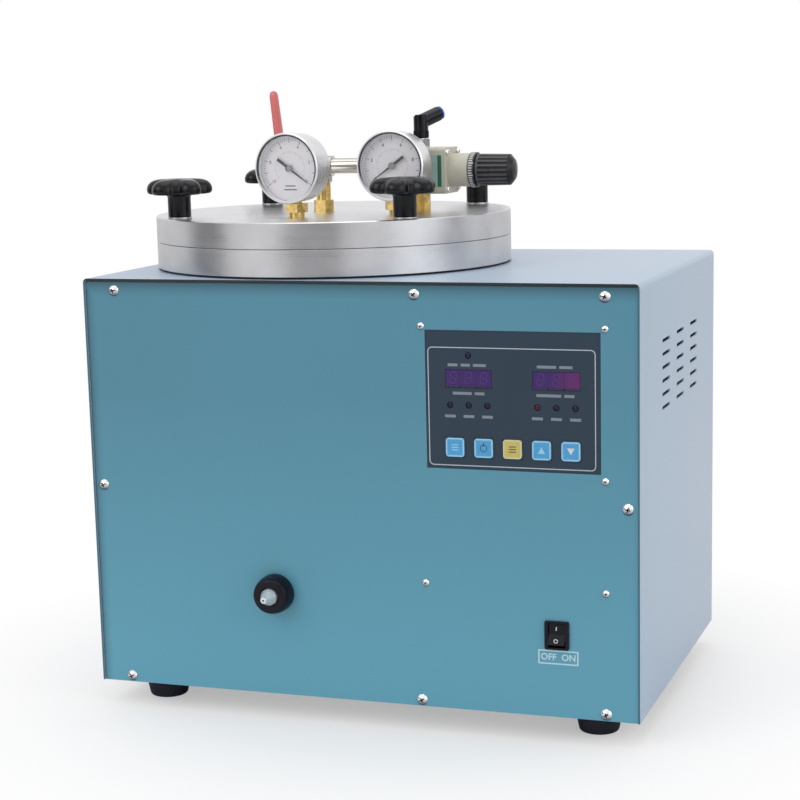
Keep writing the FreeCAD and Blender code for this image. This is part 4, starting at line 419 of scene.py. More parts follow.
def enamel(look, base, lip=None, bench_light=None):
    """Satin stove enamel on sheet steel, with a fine orange peel and painted light and shade; the last
    argument is a painted lighter tone near the bench.
    """
    cloud = look.noise(0.16, 3.0)
    peel = look.noise(0.0017, 1.5)
    x, y, z = look.axes((0.0, 0.0, BASE))
    # On the panels the tone is painted lighter towards the right, as painted light; on the cover it differs
    # at random.
    share, spread = (cloud * 0.5 + x + 0.25, 0.08) if bench_light else (cloud, 0.05)
    tone = look.mix(share, shade(base, 1 - spread), shade(base, 1 + spread))
    if lip:
        # Painted shade: the cover is darker and bluer towards its front.
        tone = look.mix(y.ramp(0.13, SHELL_FRONT), tone, shade(base, 0.86, 0.92, 0.95))
        # Painted shade on the cut front edge, which is near black along the top as painted shadow.
        edge = look.mix(z > PANEL_TOP - 0.0005, lip, shade(lip, 0.12))
        tone = look.mix(y < SHELL_FRONT + 0.0003, tone, edge)
    if bench_light:
        # Painted light: the panels are lighter towards the bench.
        tone = look.mix(z.ramp(0.27, 0.02), tone, bench_light)
        # Painted shadow under the cover's lip along the panels' top, and painted shade along their left
        # edge.
        shadow = (z.ramp(PANEL_TOP - 0.015, PANEL_TOP) ** 1.6 * 0.7).most(z > PANEL_TOP - 0.0012)
        shadow = shadow.most(x.ramp(-0.238, -0.25) ** 2.0 * 0.7)
        tone = look.mix(shadow, tone, shade(base, 0.08))
    look.coat(tone, cloud * 0.08 + peel * 0.06 + 0.3, peel, 0.00003)


@recipe
def cover_enamel(look):
    """Enamel of the cover, painted paler than the panels as a reflection of the bright surroundings; its cut
    front edge has the panels' colour, darkened as painted shade.
    """
    paint = settings().paint
    # The panels' colour, darkened as painted shade for the cut front edge.
    enamel(look, tuple(paint.cover), lip=shade(paint.panel, 0.55))


@recipe
def panel_enamel(look):
    """Enamel of the front and rear panels, with painted light and shade."""
    base = tuple(settings().paint.panel)
    # Painted light: a lighter tone near the bench.
    enamel(look, base, bench_light=shade(base, 1.4, 1.4, 1.38))


@recipe
def turned_aluminium(look):
    """Turned aluminium of the lid and the pot, with fine tool rings."""
    look.fix(Metallic=1.0)
    x, y, z = look.axes(LID_MIDDLE)
    radius = (x * x + y * y).math("SQRT")
    rings = look.noise(0.0009, 2.0, vector=look.combine(radius, z, 0.0))
    cloud = look.noise(0.03, 3.0)
    tone = look.mix(cloud, (0.50, 0.50, 0.52), (0.68, 0.68, 0.70))
    look.coat(tone, rings * 0.12 + cloud * 0.08 + 0.2, rings, 0.00002)


@recipe
def brass(look):
    """Machined brass with a light tarnish."""
    look.fix(Metallic=1.0)
    cloud = look.noise(0.006, 4.0)
    tool = look.noise(0.0008, 2.0, stretch=(0.3, 0.3, 1))
    tone = look.mix(cloud.ramp(0.25, 0.75), (0.48, 0.31, 0.09), (0.95, 0.71, 0.28))
    look.coat(tone, cloud * 0.18 + tool * 0.08 + 0.16, tool, 0.00002)


@recipe
def ribbed_black(look):
    """Black moulding of the regulator's knob, painted grey on its ribs as a highlight."""
    look.fix(Specular_IOR_Level=0.3)
    low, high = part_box("regulator_knob")
    half = (high.x - low.x) / 2
    x, y, z = look.axes(middle("regulator_knob"))
    # Painted highlight on the tops of the ribs, except over the last few millimetres at one end.
    rib = (y * y + z * z).math("SQRT").ramp(0.0131, 0.0139) * x.ramp(half - 0.0055, half - 0.0065)
    cloud = look.noise(0.006, 3.0)
    rib_highlight = look.mix(cloud, (0.05, 0.05, 0.055), (0.10, 0.10, 0.11))
    tone = look.mix(rib, (0.005, 0.005, 0.008), rib_highlight)
    look.coat(tone, cloud * 0.15 + 0.22, look.noise(0.001, 2.0), 0.00003)


@recipe
def screw_chrome(look):
    """Bright chrome of the screws, with painted shade: darker round the underside of a head, nearly black in
    its recess.
    """
    look.fix(Metallic=1.0)
    level, recess = (
        look.node("ShaderNodeAttribute", {"attribute_name": n}, output=2) for n in ("middle", "recess")
    )
    x, y, z = look.axes()
    cloud = look.noise(0.004, 3.0)
    bright = look.mix(cloud, (0.75, 0.75, 0.77), (0.95, 0.95, 0.96))
    # Painted shade under each head and in its recess.
    tone = look.mix((z - level).ramp(-0.0035, 0.0012), (0.13, 0.14, 0.18), bright)
    tone = look.mix(recess, tone, (0.02, 0.02, 0.026))
    look.coat(tone, cloud * 0.12 + recess * 0.3 + 0.1, cloud, 0.00002)


@recipe
def nozzle_nickel(look):
    """Dull nickel of the nozzle."""
    look.fix(Metallic=0.45)
    cloud = look.noise(0.004, 3.0)
    rub = look.noise(0.0007, 2.0, stretch=(1, 0.1, 1))
    look.coat(look.mix(cloud, (0.52, 0.56, 0.60), (0.86, 0.89, 0.92)), cloud * 0.2 + 0.16, rub, 0.00003)


@recipe
def pipe_chrome(look):
    """Chrome of the manifold, slightly warm."""
    look.fix(Metallic=1.0)
    cloud = look.noise(0.012, 3.0)
    tone = look.mix(cloud, (0.46, 0.44, 0.40), (0.64, 0.62, 0.58))
    look.coat(tone, cloud * 0.14 + 0.1, look.noise(0.001, 2.0), 0.00001)


@recipe
def brushed_case(look):
    """Brushed stainless steel of the gauge cases, with rings round each case and painted shade inside each
    bezel in front of the lens, fading towards the bottom.
    """
    x, y, z = look.axes()
    rings = look.noise(0.0009, 2.0, vector=look.combine(x * 0.02, y, z * 0.02))
    cloud = look.noise(0.02, 3.0)
    walls, bezel_shades = [], []
    for hub, turn in GAUGES.values():
        moved = look.node("ShaderNodeMapping", inputs={"Vector": look.point, "Location": -hub})
        values = {"Vector": moved, "Rotation": (0.0, 0.0, math.radians(-turn))}
        x, y, z = look.split(look.node("ShaderNodeMapping", inputs=values))
        reach = (x * x + z * z).math("SQRT")
        walls.append((reach < 0.02902).least(y > -0.0166).least(y < 0.01))
        # Painted shade inside the bezel in front of the lens, fading towards the bottom.
        bezel_shade = (reach < 0.0295).least(y < -0.0166).least(y > -0.03)
        bezel_shades.append(bezel_shade * z.ramp(-0.026, -0.006))
    inner = either(walls)
    tone = look.mix(cloud, (0.62, 0.62, 0.64), (0.80, 0.80, 0.82))
    tone = look.mix(inner, tone, (0.80, 0.79, 0.81))
    # Near black where the painted shade is.
    tone = look.mix(either(bezel_shades) * 0.94, tone, (0.03, 0.03, 0.04))
    look.coat(tone, rings * 0.14 + 0.22, rings, 0.00002, Metallic=1.0 - inner)


@recipe
def overlay_film(look):
    """Printed film with a fine texture, and the tinted display panes let into it."""
    paint = settings().paint
    look.fix(Specular_IOR_Level=0.25)
    panes = []
    for place, level in DISPLAYS:
        x, y, z = look.axes((place, 0.0, level))
        panes.append((abs(x) < 0.02).least(abs(z) < 0.0075))
    pane = either(panes)
    film = look.mix(look.noise(0.05, 2.0), shade(paint.overlay, 0.92), shade(paint.overlay, 1.08))
    tint = look.mix(look.noise(0.03, 1.0), shade(paint.pane, 0.8), shade(paint.pane, 1.25))
    x, y, z = look.axes((DISPLAYS[1][0], 0.0, 0.0))
    tint = look.mix(x.ramp(-0.004, 0.012) * 0.8, tint, (0.135, 0.022, 0.13))
    texture = look.noise(0.0005, 1.0)
    rough = pane * -0.24 + texture * 0.08 + 0.38
    look.coat(look.mix(pane, film, tint), rough, texture * (1.0 - pane), 0.00002)


@recipe
def lamp(look):
    """Unlit tinted lamps: the first of the right-hand three is red, the others are near black."""
    look.fix(Specular_IOR_Level=0.2)
    x, y, z = look.axes((DISPLAYS[1][0] - LED_PITCH, 0.0, 0.0))
    cloud = look.noise(0.002, 2.0)
    dark = look.mix(cloud, (0.010, 0.008, 0.028), (0.022, 0.018, 0.05))
    look.coat(look.mix(abs(x) < 0.004, dark, (0.07, 0.012, 0.03)), cloud * 0.1 + 0.15, cloud, 0.00002)


@recipe
def dial_white(look):
    """Matt white dial."""
    cloud = look.noise(0.02, 3.0)
    tone = look.mix(cloud, (0.74, 0.72, 0.745), (0.82, 0.80, 0.825))
    look.coat(tone, cloud * 0.1 + 0.5, look.noise(0.0007, 1.0), 0.00001)


@recipe
def pointer_black(look):
    """Black pointers with a grey hub."""
    hubs = []
    for hub, _ in GAUGES.values():
        x, y, z = look.axes(hub)
        hubs.append(((x * x + z * z).math("SQRT") < 0.0032).least(abs(y) < 0.03))
    near = either(hubs)
    cloud = look.noise(0.004, 2.0)
    grey = look.mix(cloud, (0.2, 0.2, 0.21), (0.3, 0.3, 0.31))
    look.coat(look.mix(near, (0.012, 0.012, 0.014), grey), cloud * 0.15 + 0.35, Metallic=near * 0.6)


@recipe
def lens(look):
    """Thin clear lens that takes a soft shine, with a dark ring round the rim where its seal shows, painted
    as shade that fades towards the bottom.
    """
    look.fix(IOR=1.5)
    smear = look.noise(0.03, 3.0)
    seal_shades = []
    for hub, _ in GAUGES.values():
        x, y, z = look.axes(hub)
        reach = (x * x + y * y + z * z).math("SQRT")
        # Dark ring of the seal with painted shade, strongest at the top and fading towards the bottom.
        seal_shades.append((reach > SEAL).least(reach < 0.035) * (z.ramp(-0.026, -0.006) * 0.75 + 0.25))
    seal_and_shade = either(seal_shades)
    clear = (smear * 0.04 + 0.02).most(seal_and_shade * 0.92)
    look.coat(look.mix(seal_and_shade, (0.9, 0.95, 1.0), (0.03, 0.03, 0.035)), smear * 0.1 + 0.03, Alpha=clear)
    look.material.surface_render_method = "BLENDED"


@recipe
def regulator_paint(look):
    """Matt beige paint on the regulator's die casting; the ring that carries the scale is black."""
    base = settings().paint.regulator
    x, y, z = look.axes()
    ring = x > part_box("regulator_bonnet")[0].x + 0.0195
    cloud = look.noise(0.02, 3.0)
    tone = look.mix(cloud, shade(base, 0.88), shade(base, 1.1))
    tone = look.mix(ring, tone, (0.02, 0.02, 0.022))
    look.coat(tone, cloud * 0.12 + 0.4, look.noise(0.0009, 2.0), 0.00004)


@recipe
def board_green(look):
    """Circuit board: green laminate, with dark modules on both sides."""
    x, y, z = look.axes((0.0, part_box("controller_board")[0].y, 0.0))
    laminate = (y > 0.0).least(y < 0.05)
    cloud = look.noise(0.01, 3.0)
    tone = look.mix(laminate * cloud, (0.012, 0.012, 0.014), (0.02, 0.16, 0.07))
    look.coat(tone, cloud * 0.2 + 0.3, look.noise(0.0012, 2.0), 0.00003)


@recipe
def wool(look):
    """Mineral wool jacket."""
    fibre = look.noise(0.0015, 4.0, stretch=(1, 1, 0.2))
    tone = look.mix(look.noise(0.02, 3.0), (0.45, 0.38, 0.24), (0.62, 0.56, 0.40))
    look.coat(tone, fibre * 0.1 + 0.85, fibre, 0.0006)


@recipe
def iron(look):
    """Lacquered laminations and castings inside the cabinet."""
    look.fix(Metallic=0.6)
    layers = look.noise(0.0006, 1.0, stretch=(0.02, 0.02, 1))
    cloud = look.noise(0.02, 3.0)
    look.coat(look.mix(cloud, (0.05, 0.05, 0.055), (0.10, 0.10, 0.105)), cloud * 0.2 + 0.45, layers, 0.00008)


# Finish of each slot that isn't named like its finish.
SLOT_FINISH = {
    "shell_paint": "cover_enamel",
    "panel_paint": "panel_enamel",
    "aluminium": "turned_aluminium",
    "black_plastic": "black_satin",
    "overlay": "overlay_film",
    "board": "board_green",
    "dial": "dial_white",
    "glass": "lens",
    "regulator": "regulator_paint",
    "red_sleeve": "red_vinyl",
    "core": "iron",
}
# Nodes whose finish isn't the first choice of their slot.
OWN_FINISH = {
    "gauge_cases": "brushed_case",
    "regulator_bonnet": "regulator_paint",
    "regulator_knob": "ribbed_black",
    "elbow_head": "black_gloss",
    "nozzle_tip": "nozzle_nickel",
    "manifold_pipes": "pipe_chrome",
}
OWN_FINISH.update(("knob_washer_" + side, "steel") for side in KNOB_TURNS)
OWN_FINISH.update(("gauge_pointer_" + side, "pointer_black") for side in GAUGES)


# ---- mesh work ----
def show(name, data):
    """A new object in the scene."""
    made = bpy.data.objects.new(name, data)
    bpy.context.scene.collection.objects.link(made)
    return made


def taken(thing):
    """The mesh of an object as its modifiers leave it. The object and its data are removed."""
    graph = bpy.context.evaluated_depsgraph_get()
    mesh = bpy.data.meshes.new_from_object(thing.evaluated_get(graph))
    thing.modifiers.clear()
    bpy.data.batch_remove((thing, thing.data))
    return mesh


def mesh_from(points, faces, name="part"):
    """A plain mesh from points and faces."""
    mesh = bpy.data.meshes.new(name)
    mesh.from_pydata(points, [], faces)
    mesh.update()
    return mesh


def skin(rings, ends=""):
    """A mesh over rings of points, of which one point alone is a pole. The ends of the row of
    rings are "capped", "joined" to each other or left open."""
    points, numbers, faces = [], [], []
    for ring in rings:
        numbers.append(range(len(points), len(points) + len(ring)))
        points += ring
    pairs = list(zip(numbers, numbers[1:]))
    if ends == "joined":
        pairs.append((numbers[-1], numbers[0]))
    for low, high in pairs:
        count = max(len(low), len(high))
        for i in range(count):
            j = (i + 1) % count
            corners = [low[i % len(low)], low[j % len(low)], high[j % len(high)], high[i % len(high)]]
            faces.append(tuple(dict.fromkeys(corners)))
    if ends == "capped":
        faces += [tuple(reversed(numbers[0])), tuple(numbers[-1])]
    return mesh_from(points, faces)


def circle(radius, steps=48):
    """Outline of a circle about the origin."""
    angles = [2 * math.pi * i / steps for i in range(steps)]
    return [(radius * math.cos(a), radius * math.sin(a)) for a in angles]


def rounded(width, height, radius, steps=6):
    """Outline of a rectangle with rounded corners about the origin."""
    spots = []
    for sx, sy, start in ((1, 1, 0), (-1, 1, 90), (-1, -1, 180), (1, -1, 270)):
        for i in range(steps + 1):
            a = math.radians(start + 90 * i / steps)
            x = sx * (width / 2 - radius) + radius * math.cos(a)
            y = sy * (height / 2 - radius) + radius * math.sin(a)
            spots.append((x, y))
    return spots


def spin(profile, steps, unit=1.0):
    """Turn a profile of (radius, height) about Z; a zero radius closes to a pole."""
    rings = []
    for radius, height in profile:
        spots = circle(radius * unit, steps) if radius else [(0, 0)]
        rings.append([(x, y, height * unit) for x, y in spots])
    return skin(rings)


def plate(outline, thickness, hole=None):
    """A flat plate in XY with its face at z = thickness, from a closed outline and a like hole."""
    rings = [[(x, y, z) for x, y in outline] for z in (0, thickness)]
    if hole:
        rings += [[(x, y, z) for x, y in hole] for z in (thickness, 0)]
    return skin(rings, "joined" if hole else "capped")


def lettering(text, size, weight):
    """Plain lettering as a thin mesh in XY, centred on the origin."""
    curve = bpy.data.curves.new("lettering", "FONT")
    curve.body = text
    curve.size = size
    curve.align_x = curve.align_y = "CENTER"
    curve.extrude = 0.00003
    curve.offset = size * weight
    curve.resolution_u = 4
    return taken(show("lettering", curve))


def outward(work, mesh):
    """Point a bmesh's faces outwards, write it to a mesh and free it."""
    bmesh.ops.recalc_face_normals(work, faces=work.faces)
    work.to_mesh(mesh)
    work.free()


def settle(name, body, parts, replaces=(), smooth=35.0, weld=True):
    """Join (mesh, matrix, finish) parts to a piece that rides on a body. Their meshes are removed."""
    coats = list(dict.fromkeys(coat for _, _, coat in parts))
    whole = bmesh.new()
    for mesh, matrix, coat in parts:
        mesh.transform(matrix)
        mesh.polygons.foreach_set("material_index", [coats.index(coat)] * len(mesh.polygons))
        whole.from_mesh(mesh)
        bpy.data.meshes.remove(mesh)
    if weld:
        bmesh.ops.remove_doubles(whole, verts=whole.verts, dist=1e-7)
    made = bpy.data.meshes.new(name)
    outward(whole, made)
    for coat in coats:
        made.materials.append(finish(coat))
    made.polygons.foreach_set("use_smooth", [True] * len(made.polygons))
    made.set_sharp_from_angle(angle=math.radians(smooth))
    piece = show(name, made)
    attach(piece, body)
    if replaces:
        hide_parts(*replaces)


def at(x, y, z):
    """A move."""
    return Matrix.Translation((x, y, z))


def turned(degrees, axis):
    """A turn about an axis through the origin."""
    return Matrix.Rotation(math.radians(degrees), 4, axis)


def facing_front(x, y, z, turn=0.0):
    """Stands a mesh made in XY upright, its top towards -Y, at a place."""
    return at(x, y, z) @ turned(turn, "Z") @ turned(90, "X")


def front_plate(coat, x, y, z, thickness, outline, hole=None):
    """A part that is a plate facing the front, at a place."""
    return plate(outline, thickness, hole), facing_front(x, y, z), coat


# ---- geometry node trees ----
# Kind of a tree's input, by the type of its default.
KINDS = {int: "Int", float: "Float", tuple: "Vector"}


class Build(Graph):
    """A geometry node tree, run on a seed mesh. Keywords name its inputs, with _ for a space."""

    def __init__(self, name, **defaults):
        super().__init__(bpy.data.node_groups.new(name, "GeometryNodeTree"))
        self.add("Geometry", "Geometry")
        for label, default in defaults.items():
            if isinstance(default, str):
                self.add(label, default)
            else:
                self.add(label, KINDS[type(default)]).default_value = default
        self.add("Geometry", "Geometry", "OUTPUT")
        source = self.tree.nodes.new("NodeGroupInput")
        self.inputs = [Wire(self, source.outputs[i]) for i in range(len(defaults) + 1)]

    def add(self, label, kind, way="INPUT"):
        """A new socket of the tree."""
        name = label.replace("_", " ")
        return self.tree.interface.new_socket(name, in_out=way, socket_type="NodeSocket" + kind)

    def end(self, coat, kind, **inputs):
        """Add the last node of the shape, realize its instances, set the material and close the tree."""
        real = self.node("GeometryNodeRealizeInstances", inputs={0: self.node(kind, inputs=inputs)})
        painted = self.node("GeometryNodeSetMaterial", inputs={"Geometry": real, "Material": coat})
        self.tree.links.new(painted.socket, self.tree.nodes.new("NodeGroupOutput").inputs[0])
        return self

    def run(self, base, **values):
        """The tree's result on a seed mesh, as a plain mesh."""
        carrier = show("carrier", base)
        modifier = carrier.modifiers.new("Build", "NODES")
        modifier.node_group = self.tree
        for item in self.tree.interface.items_tree:
            key = item.name.replace(" ", "_").lower()
            if item.in_out == "INPUT" and key in values:
                modifier[item.identifier] = values[key]
        return taken(carrier)


@cache
def screws_tree():
    """Stands one head on every point. Points marked back face +Y; each head gets its own turn."""
    build = Build("Screws on points", Head="Object", Turn=3.0, Seed=4, Finish="Material")
    geometry, head, most, seed, coat = build.inputs
    shape = build.node("GeometryNodeObjectInfo", inputs={"Object": head}, output="Geometry")
    back = build.node("GeometryNodeInputNamedAttribute", {"data_type": "FLOAT"}, {"Name": "back"})
    # Each head's height, which the screw finish uses to paint shade under the head.
    height = build.split(build.node("GeometryNodeInputPosition"))[2]
    values = {"Geometry": geometry, "Name": "middle", "Value": height}
    points = build.node("GeometryNodeStoreNamedAttribute", {"data_type": "FLOAT", "domain": "POINT"}, values)
    values = {2: most * -1.0, 3: most, "Seed": seed}
    turn = build.node("FunctionNodeRandomValue", {"data_type": "FLOAT"}, values, output=1)
    angles = build.combine(0.0, turn, back * math.pi)
    rotation = build.node("FunctionNodeEulerToRotation", inputs={0: angles})
    kind = "GeometryNodeInstanceOnPoints"
    return build.end(coat, kind, Points=points, Instance=shape, Rotation=rotation)


@cache
def marks_tree():
    """Marks round an arc in XY: long ones at every so many, all ending at one radius."""
    build = Build(
        "Marks round an arc", Count=51, Start=0.0, Sweep=4.0, Radius=0.026, Long_Every=5.0,
        Mark=(0.002, 0.0002, 0.0001), Long_Mark=(0.004, 0.0004, 0.0001), Finish="Material",
    )
    count, start, sweep, rim, every, short, long, coat = build.inputs[1:]
    points = build.node("GeometryNodePoints", inputs={"Count": count})
    index = build.node("GeometryNodeInputIndex")
    angle = start + sweep * index / (count - 1.0)
    is_long = index.math("FLOORED_MODULO", every) < 0.5
    values = {0: is_long, 4: short, 5: long}
    size = build.node("ShaderNodeMix", {"data_type": "VECTOR"}, values, output=1)
    reach, width, height = build.split(size)
    radius = rim - reach * 0.5
    place = build.combine(angle.math("COSINE") * radius, angle.math("SINE") * radius, height * 0.5)
    moved = build.node("GeometryNodeSetPosition", inputs={"Geometry": points, "Position": place})
    rotation = build.node("FunctionNodeEulerToRotation", inputs={0: build.combine(0.0, 0.0, angle)})
    bar = build.node("GeometryNodeMeshCube")
    kind = "GeometryNodeInstanceOnPoints"
    return build.end(coat, kind, Points=moved, Instance=bar, Rotation=rotation, Scale=size)


def arc_marks(coat, place, count, start, sweep, radius, every, mark, long_mark):
    """A part of marks round an arc. A mark is given as (length, width, thickness)."""
    seed = mesh_from([(0, 0, 0)], [])
    made = marks_tree().run(
        seed, count=count, start=start, sweep=sweep, radius=radius, long_every=every, mark=mark,
        long_mark=long_mark, finish=finish(coat),
    )
    return made, place, coat


@cache
def lobes_tree():
    """Draws a turned blank in between its lobes and sinks its top there; the stem stays round."""
    build = Build(
        "Lobes on a turned blank", Lobes=5.0, Waist=0.7, Rim=0.0304, Lobe=0.0100, Stem=0.0118,
        Middle=0.0200, Web=0.42, Finish="Material",
    )
    geometry, lobes, waist, rim, lobe, stem, heart, web, coat = build.inputs
    x, y, z = build.split(build.node("GeometryNodeInputPosition"))
    radius = (x * x + y * y).math("SQRT")
    turn = (y.math("ARCTAN2", x) * lobes / (2 * math.pi) + 10.5).math("FRACT") - 0.5
    angle = turn * (2 * math.pi) / lobes
    pitch = rim - lobe
    reach = (lobe ** 2.0 - (pitch * angle.math("SINE")) ** 2.0).most(0.0)
    edge = ((pitch * angle.math("COSINE") + reach ** 0.5) / rim).math("SMOOTH_MAX", waist, 0.04)
    sunk = (1.0 - edge) * ((radius - stem) / (rim - stem)).most(0.0).least(1.0)
    level = heart + (z - heart) * (1.0 - sunk / (1.0 - waist) * web)
    shifted = build.combine(x * (1.0 - sunk), y * (1.0 - sunk), level)
    return build.end(coat, "GeometryNodeSetPosition", Geometry=geometry, Position=shifted)


# ---- operators: one for each piece or group of like pieces ----
class INJECTOR_OT_finishes(bpy.types.Operator):
    """Put a finish on every CAD node"""

    bl_idname = "injector.finishes"
    bl_label = "Finishes"

    def execute(self, context):
        for name, node in NODES.items():
            slot = node.material_slots[0].material.name.split(".")[0]
            for place in node.material_slots:
                place.material = finish(OWN_FINISH.get(name) or SLOT_FINISH.get(slot, slot))
        return {"FINISHED"}


def screw_head(radius, dome, shank, reach):
    """A domed head with a cross recess, its seat at the origin and its top towards -Y."""
    ball = (radius * radius + dome * dome) / (2 * dome)

    def crown(r):
        """The dome's height at a distance from its axis."""
        return dome * 0.12 + (math.sqrt(ball * ball - r * r) - (ball - dome)) * 0.88

    profile = [(0, reach), (shank * 0.7, reach), (shank, reach - shank * 0.4), (shank, 0)]
    profile += [(radius, 0), (radius, -dome * 0.12)]
    profile += [(r, -crown(r)) for r in (radius * (1 - (i / 6) ** 1.2) for i in range(1, 6))]
    blank = spin(profile + [(0, -dome)], 28)
    arm, width = radius * 0.55, radius * 0.13
    cross = [(arm, width), (width, width), (width, arm), (-width, arm), (-width, width), (-arm, width)]
    cross += [(-x, -y) for x, y in cross]
    top = [(x, y, -dome * 1.3) for x, y in cross]
    tool = skin([top, [(x * 0.5, y * 0.7, -dome * 0.3) for x, y in cross]], "capped")
    for mesh in (blank, tool):
        work = bmesh.new()
        work.from_mesh(mesh)
        outward(work, mesh)
    body, cutter = show("blank", blank), show("tool", tool)
    cut = body.modifiers.new("Recess", "BOOLEAN")
    cut.object = cutter
    cut.solver = "EXACT"
    made = taken(body)
    bpy.data.batch_remove((cutter, tool))
    made.transform(turned(-90, "X"))
    # Faces of the recess, which the screw finish paints near black as shade.
    recess = made.attributes.new("recess", "FLOAT", "FACE")
    for face in made.polygons:
        r = math.hypot(face.center.x, face.center.z)
        inside = r < arm and 0 < -face.center.y < crown(min(r, radius)) - dome * 0.06
        recess.data[face.index].value = float(inside)
    return show("head", made)


def stand_screws(name, node, spots, head, seed):
    """Stand heads on (x, y, z, back) spots of the cabinet as one piece that replaces a node."""
    points = mesh_from([spot[:3] for spot in spots], [])
    attribute = points.attributes.new("back", "FLOAT", "POINT")
    attribute.data.foreach_set("value", [float(spot[3]) for spot in spots])
    made = screws_tree().run(points, head=head, seed=seed, finish=finish("screw_chrome"))
    bpy.data.batch_remove((head, head.data))
    settle(name, "cabinet", [(made, Matrix(), "screw_chrome")], (node,), 32.0)


class INJECTOR_OT_screws(bpy.types.Operator):
    """Build the domed cross-recess screws of the panels and the controller"""

    bl_idname = "injector.screws"
    bl_label = "Screws"

    def execute(self, context):
        sizes = settings().screws
        low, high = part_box("outer_shell")
        columns, rows = (-0.221, 0.058, 0.221), (high.z - 0.0105, low.z + 0.0055)
        edges, half_way = (-0.24, 0.24), low.z + 0.1825
        spots = [(x, z) for z in rows for x in columns] + [(x, half_way) for x in edges]
        both = [(x, FRONT, z, 0) for x, z in spots] + [(x, -FRONT, z, 1) for x, z in spots]
        head = screw_head(sizes.panel_radius, sizes.panel_dome, 0.0025, 0.01)
        stand_screws("panel_screw_set", "panel_screws", both, head, 4)
        left, right = CONTROL.x - 0.0788, CONTROL.x + 0.0788
        # Drop of each screw from the top of the cabinet.
        spots = [(left, 0.037), (right, 0.037), (right, 0.163), (right, 0.258), (left, 0.258)]
        small = [(x, FRONT, high.z - drop, 0) for x, drop in spots]
        head = screw_head(sizes.small_radius, sizes.small_dome, 0.0015, 0.006)
        stand_screws("bracket_screw_set", "bracket_screws", small, head, 9)
        return {"FINISHED"}


class INJECTOR_OT_star_knobs(bpy.types.Operator):
    """Build the four lobed clamping knobs with their threaded studs"""

    bl_idname = "injector.star_knobs"
    bl_label = "Star knobs"

    def execute(self, context):
        sizes = settings().knobs
        # Radius and height of the blank, in mm.
        blank = [
            (5.05, 0.3), (5.4, 0), (9.8, 0), (10.3, 0.5), (10.3, 17.2), (10.7, 18.6), (11.8, 19.5),
            (14, 19.8), (18, 19.9), (22, 20.0), (25.4, 20.1), (27.8, 20.4), (29.3, 21.2), (30.1, 22.3),
            (30.4, 23.6), (30.4, 25.0), (30.1, 26.7), (29.4, 28.3), (28.3, 29.8), (26.8, 31.1), (25.0, 32.1),
            (22.6, 32.9), (19.6, 33.5), (16, 33.8), (12.2, 33.9), (11.6, 33.75), (11.2, 33.5),
            (10.8, 33.75), (10.2, 33.95), (6, 34.1), (0, 34.15),
        ]
        bolt, root, tip, pitch = 0.005, 0.00455, 0.0042, 0.0008
        thread_top, bolt_top, lift = -0.003, 0.0165, 0.0002
        for side, turn in KNOB_TURNS.items():
            node, washer = "star_knob_" + side, "knob_washer_" + side
            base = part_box(washer)[1].z + lift
            values = {"lobes": float(sizes.lobes), "waist": sizes.waist, "finish": finish("black_gloss")}
            head = lobes_tree().run(spin(blank, 120, MM), **values)
            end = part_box(node)[0].z - base
            z = end + pitch
            thread = [(0, end), (tip, end), (bolt, z)]
            while z < thread_top:
                thread += [(root, z + pitch / 2), (bolt, z + pitch)]
                z += pitch
            thread += [(bolt, bolt_top), (0, bolt_top)]
            place = at(*middle(washer).xy, base)
            parts = [(head, place @ turned(turn, "Z"), "black_gloss"), (spin(thread, 20), place, "steel")]
            settle(node + "_grip", "knob_" + side, parts, (node,), 40.0)
        return {"FINISHED"}


class INJECTOR_OT_nozzle_collar(bpy.types.Operator):
    """Build the moulded collar round the nozzle"""

    bl_idname = "injector.nozzle_collar"
    bl_label = "Nozzle collar"

    def execute(self, context):
        low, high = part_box("nozzle_collar")
        centre = middle("nozzle_collar")
        radius = (high.x - low.x) / 2 / MM
        reach = (FRONT - low.y) / MM
        back = (FRONT - high.y) / MM
        # Radius and distance before the panel, in mm.
        profile = [
            (7.6, reach - 3.5), (10.5, reach - 3.5), (10.5, back), (12.2, back), (12.2, 0), (radius, 0),
            (radius, 4.6), (radius - 0.15, 7.2), (radius - 0.6, 10), (radius - 1.1, 12.4),
            (radius - 1.7, 14.2), (radius - 2.6, reach - 0.6), (radius - 3.8, reach - 0.1),
            (radius - 5, reach), (9.4, reach), (8.6, reach - 0.25), (7.9, reach - 0.8), (7.6, reach - 1.6),
            (7.6, reach - 3.5),
        ]
        parts = [(spin(profile, 72, MM), facing_front(centre.x, FRONT, centre.z), "black_satin")]
        settle("nozzle_collar_moulding", "cabinet", parts, ("nozzle_collar",), 30.0)
        return {"FINISHED"}


class INJECTOR_OT_lever_sleeve(bpy.types.Operator):
    """Build the dipped sleeve of the valve lever, with its round end"""

    bl_idname = "injector.lever_sleeve"
    bl_label = "Lever sleeve"

    def execute(self, context):
        pivot, lean = -0.1175, -5.9
        place = at(pivot, middle("lever_grip").y, BASE + PIPE) @ turned(lean, "Y")
        # Distance from the lever's axis, half width and half depth of each ring, in mm.
        sizes = [
            (22.0, 4.1, 2.2), (22.5, 4.5, 2.7), (23.6, 4.6, 2.8), (25, 4.4, 2.65), (35, 4.3, 2.65),
            (50, 4.1, 2.6), (61, 4.0, 2.55), (65, 3.95, 2.5), (67, 3.5, 2.35), (68.3, 2.9, 2.0),
            (69.2, 1.9, 1.35), (69.5, 0.8, 0.6),
        ]
        # A circle drawn out towards the corners of its square.
        boxy = [[math.copysign(abs(c) ** 0.6, c) * MM for c in spot] for spot in circle(1.0, 40)]
        rings = [[(half * x, depth * y, height * MM) for x, y in boxy] for height, half, depth in sizes]
        parts = [(skin(rings, "capped"), place, "red_vinyl")]
        settle("lever_sleeve", "lever", parts, ("lever_grip",), 50.0)
        return {"FINISHED"}


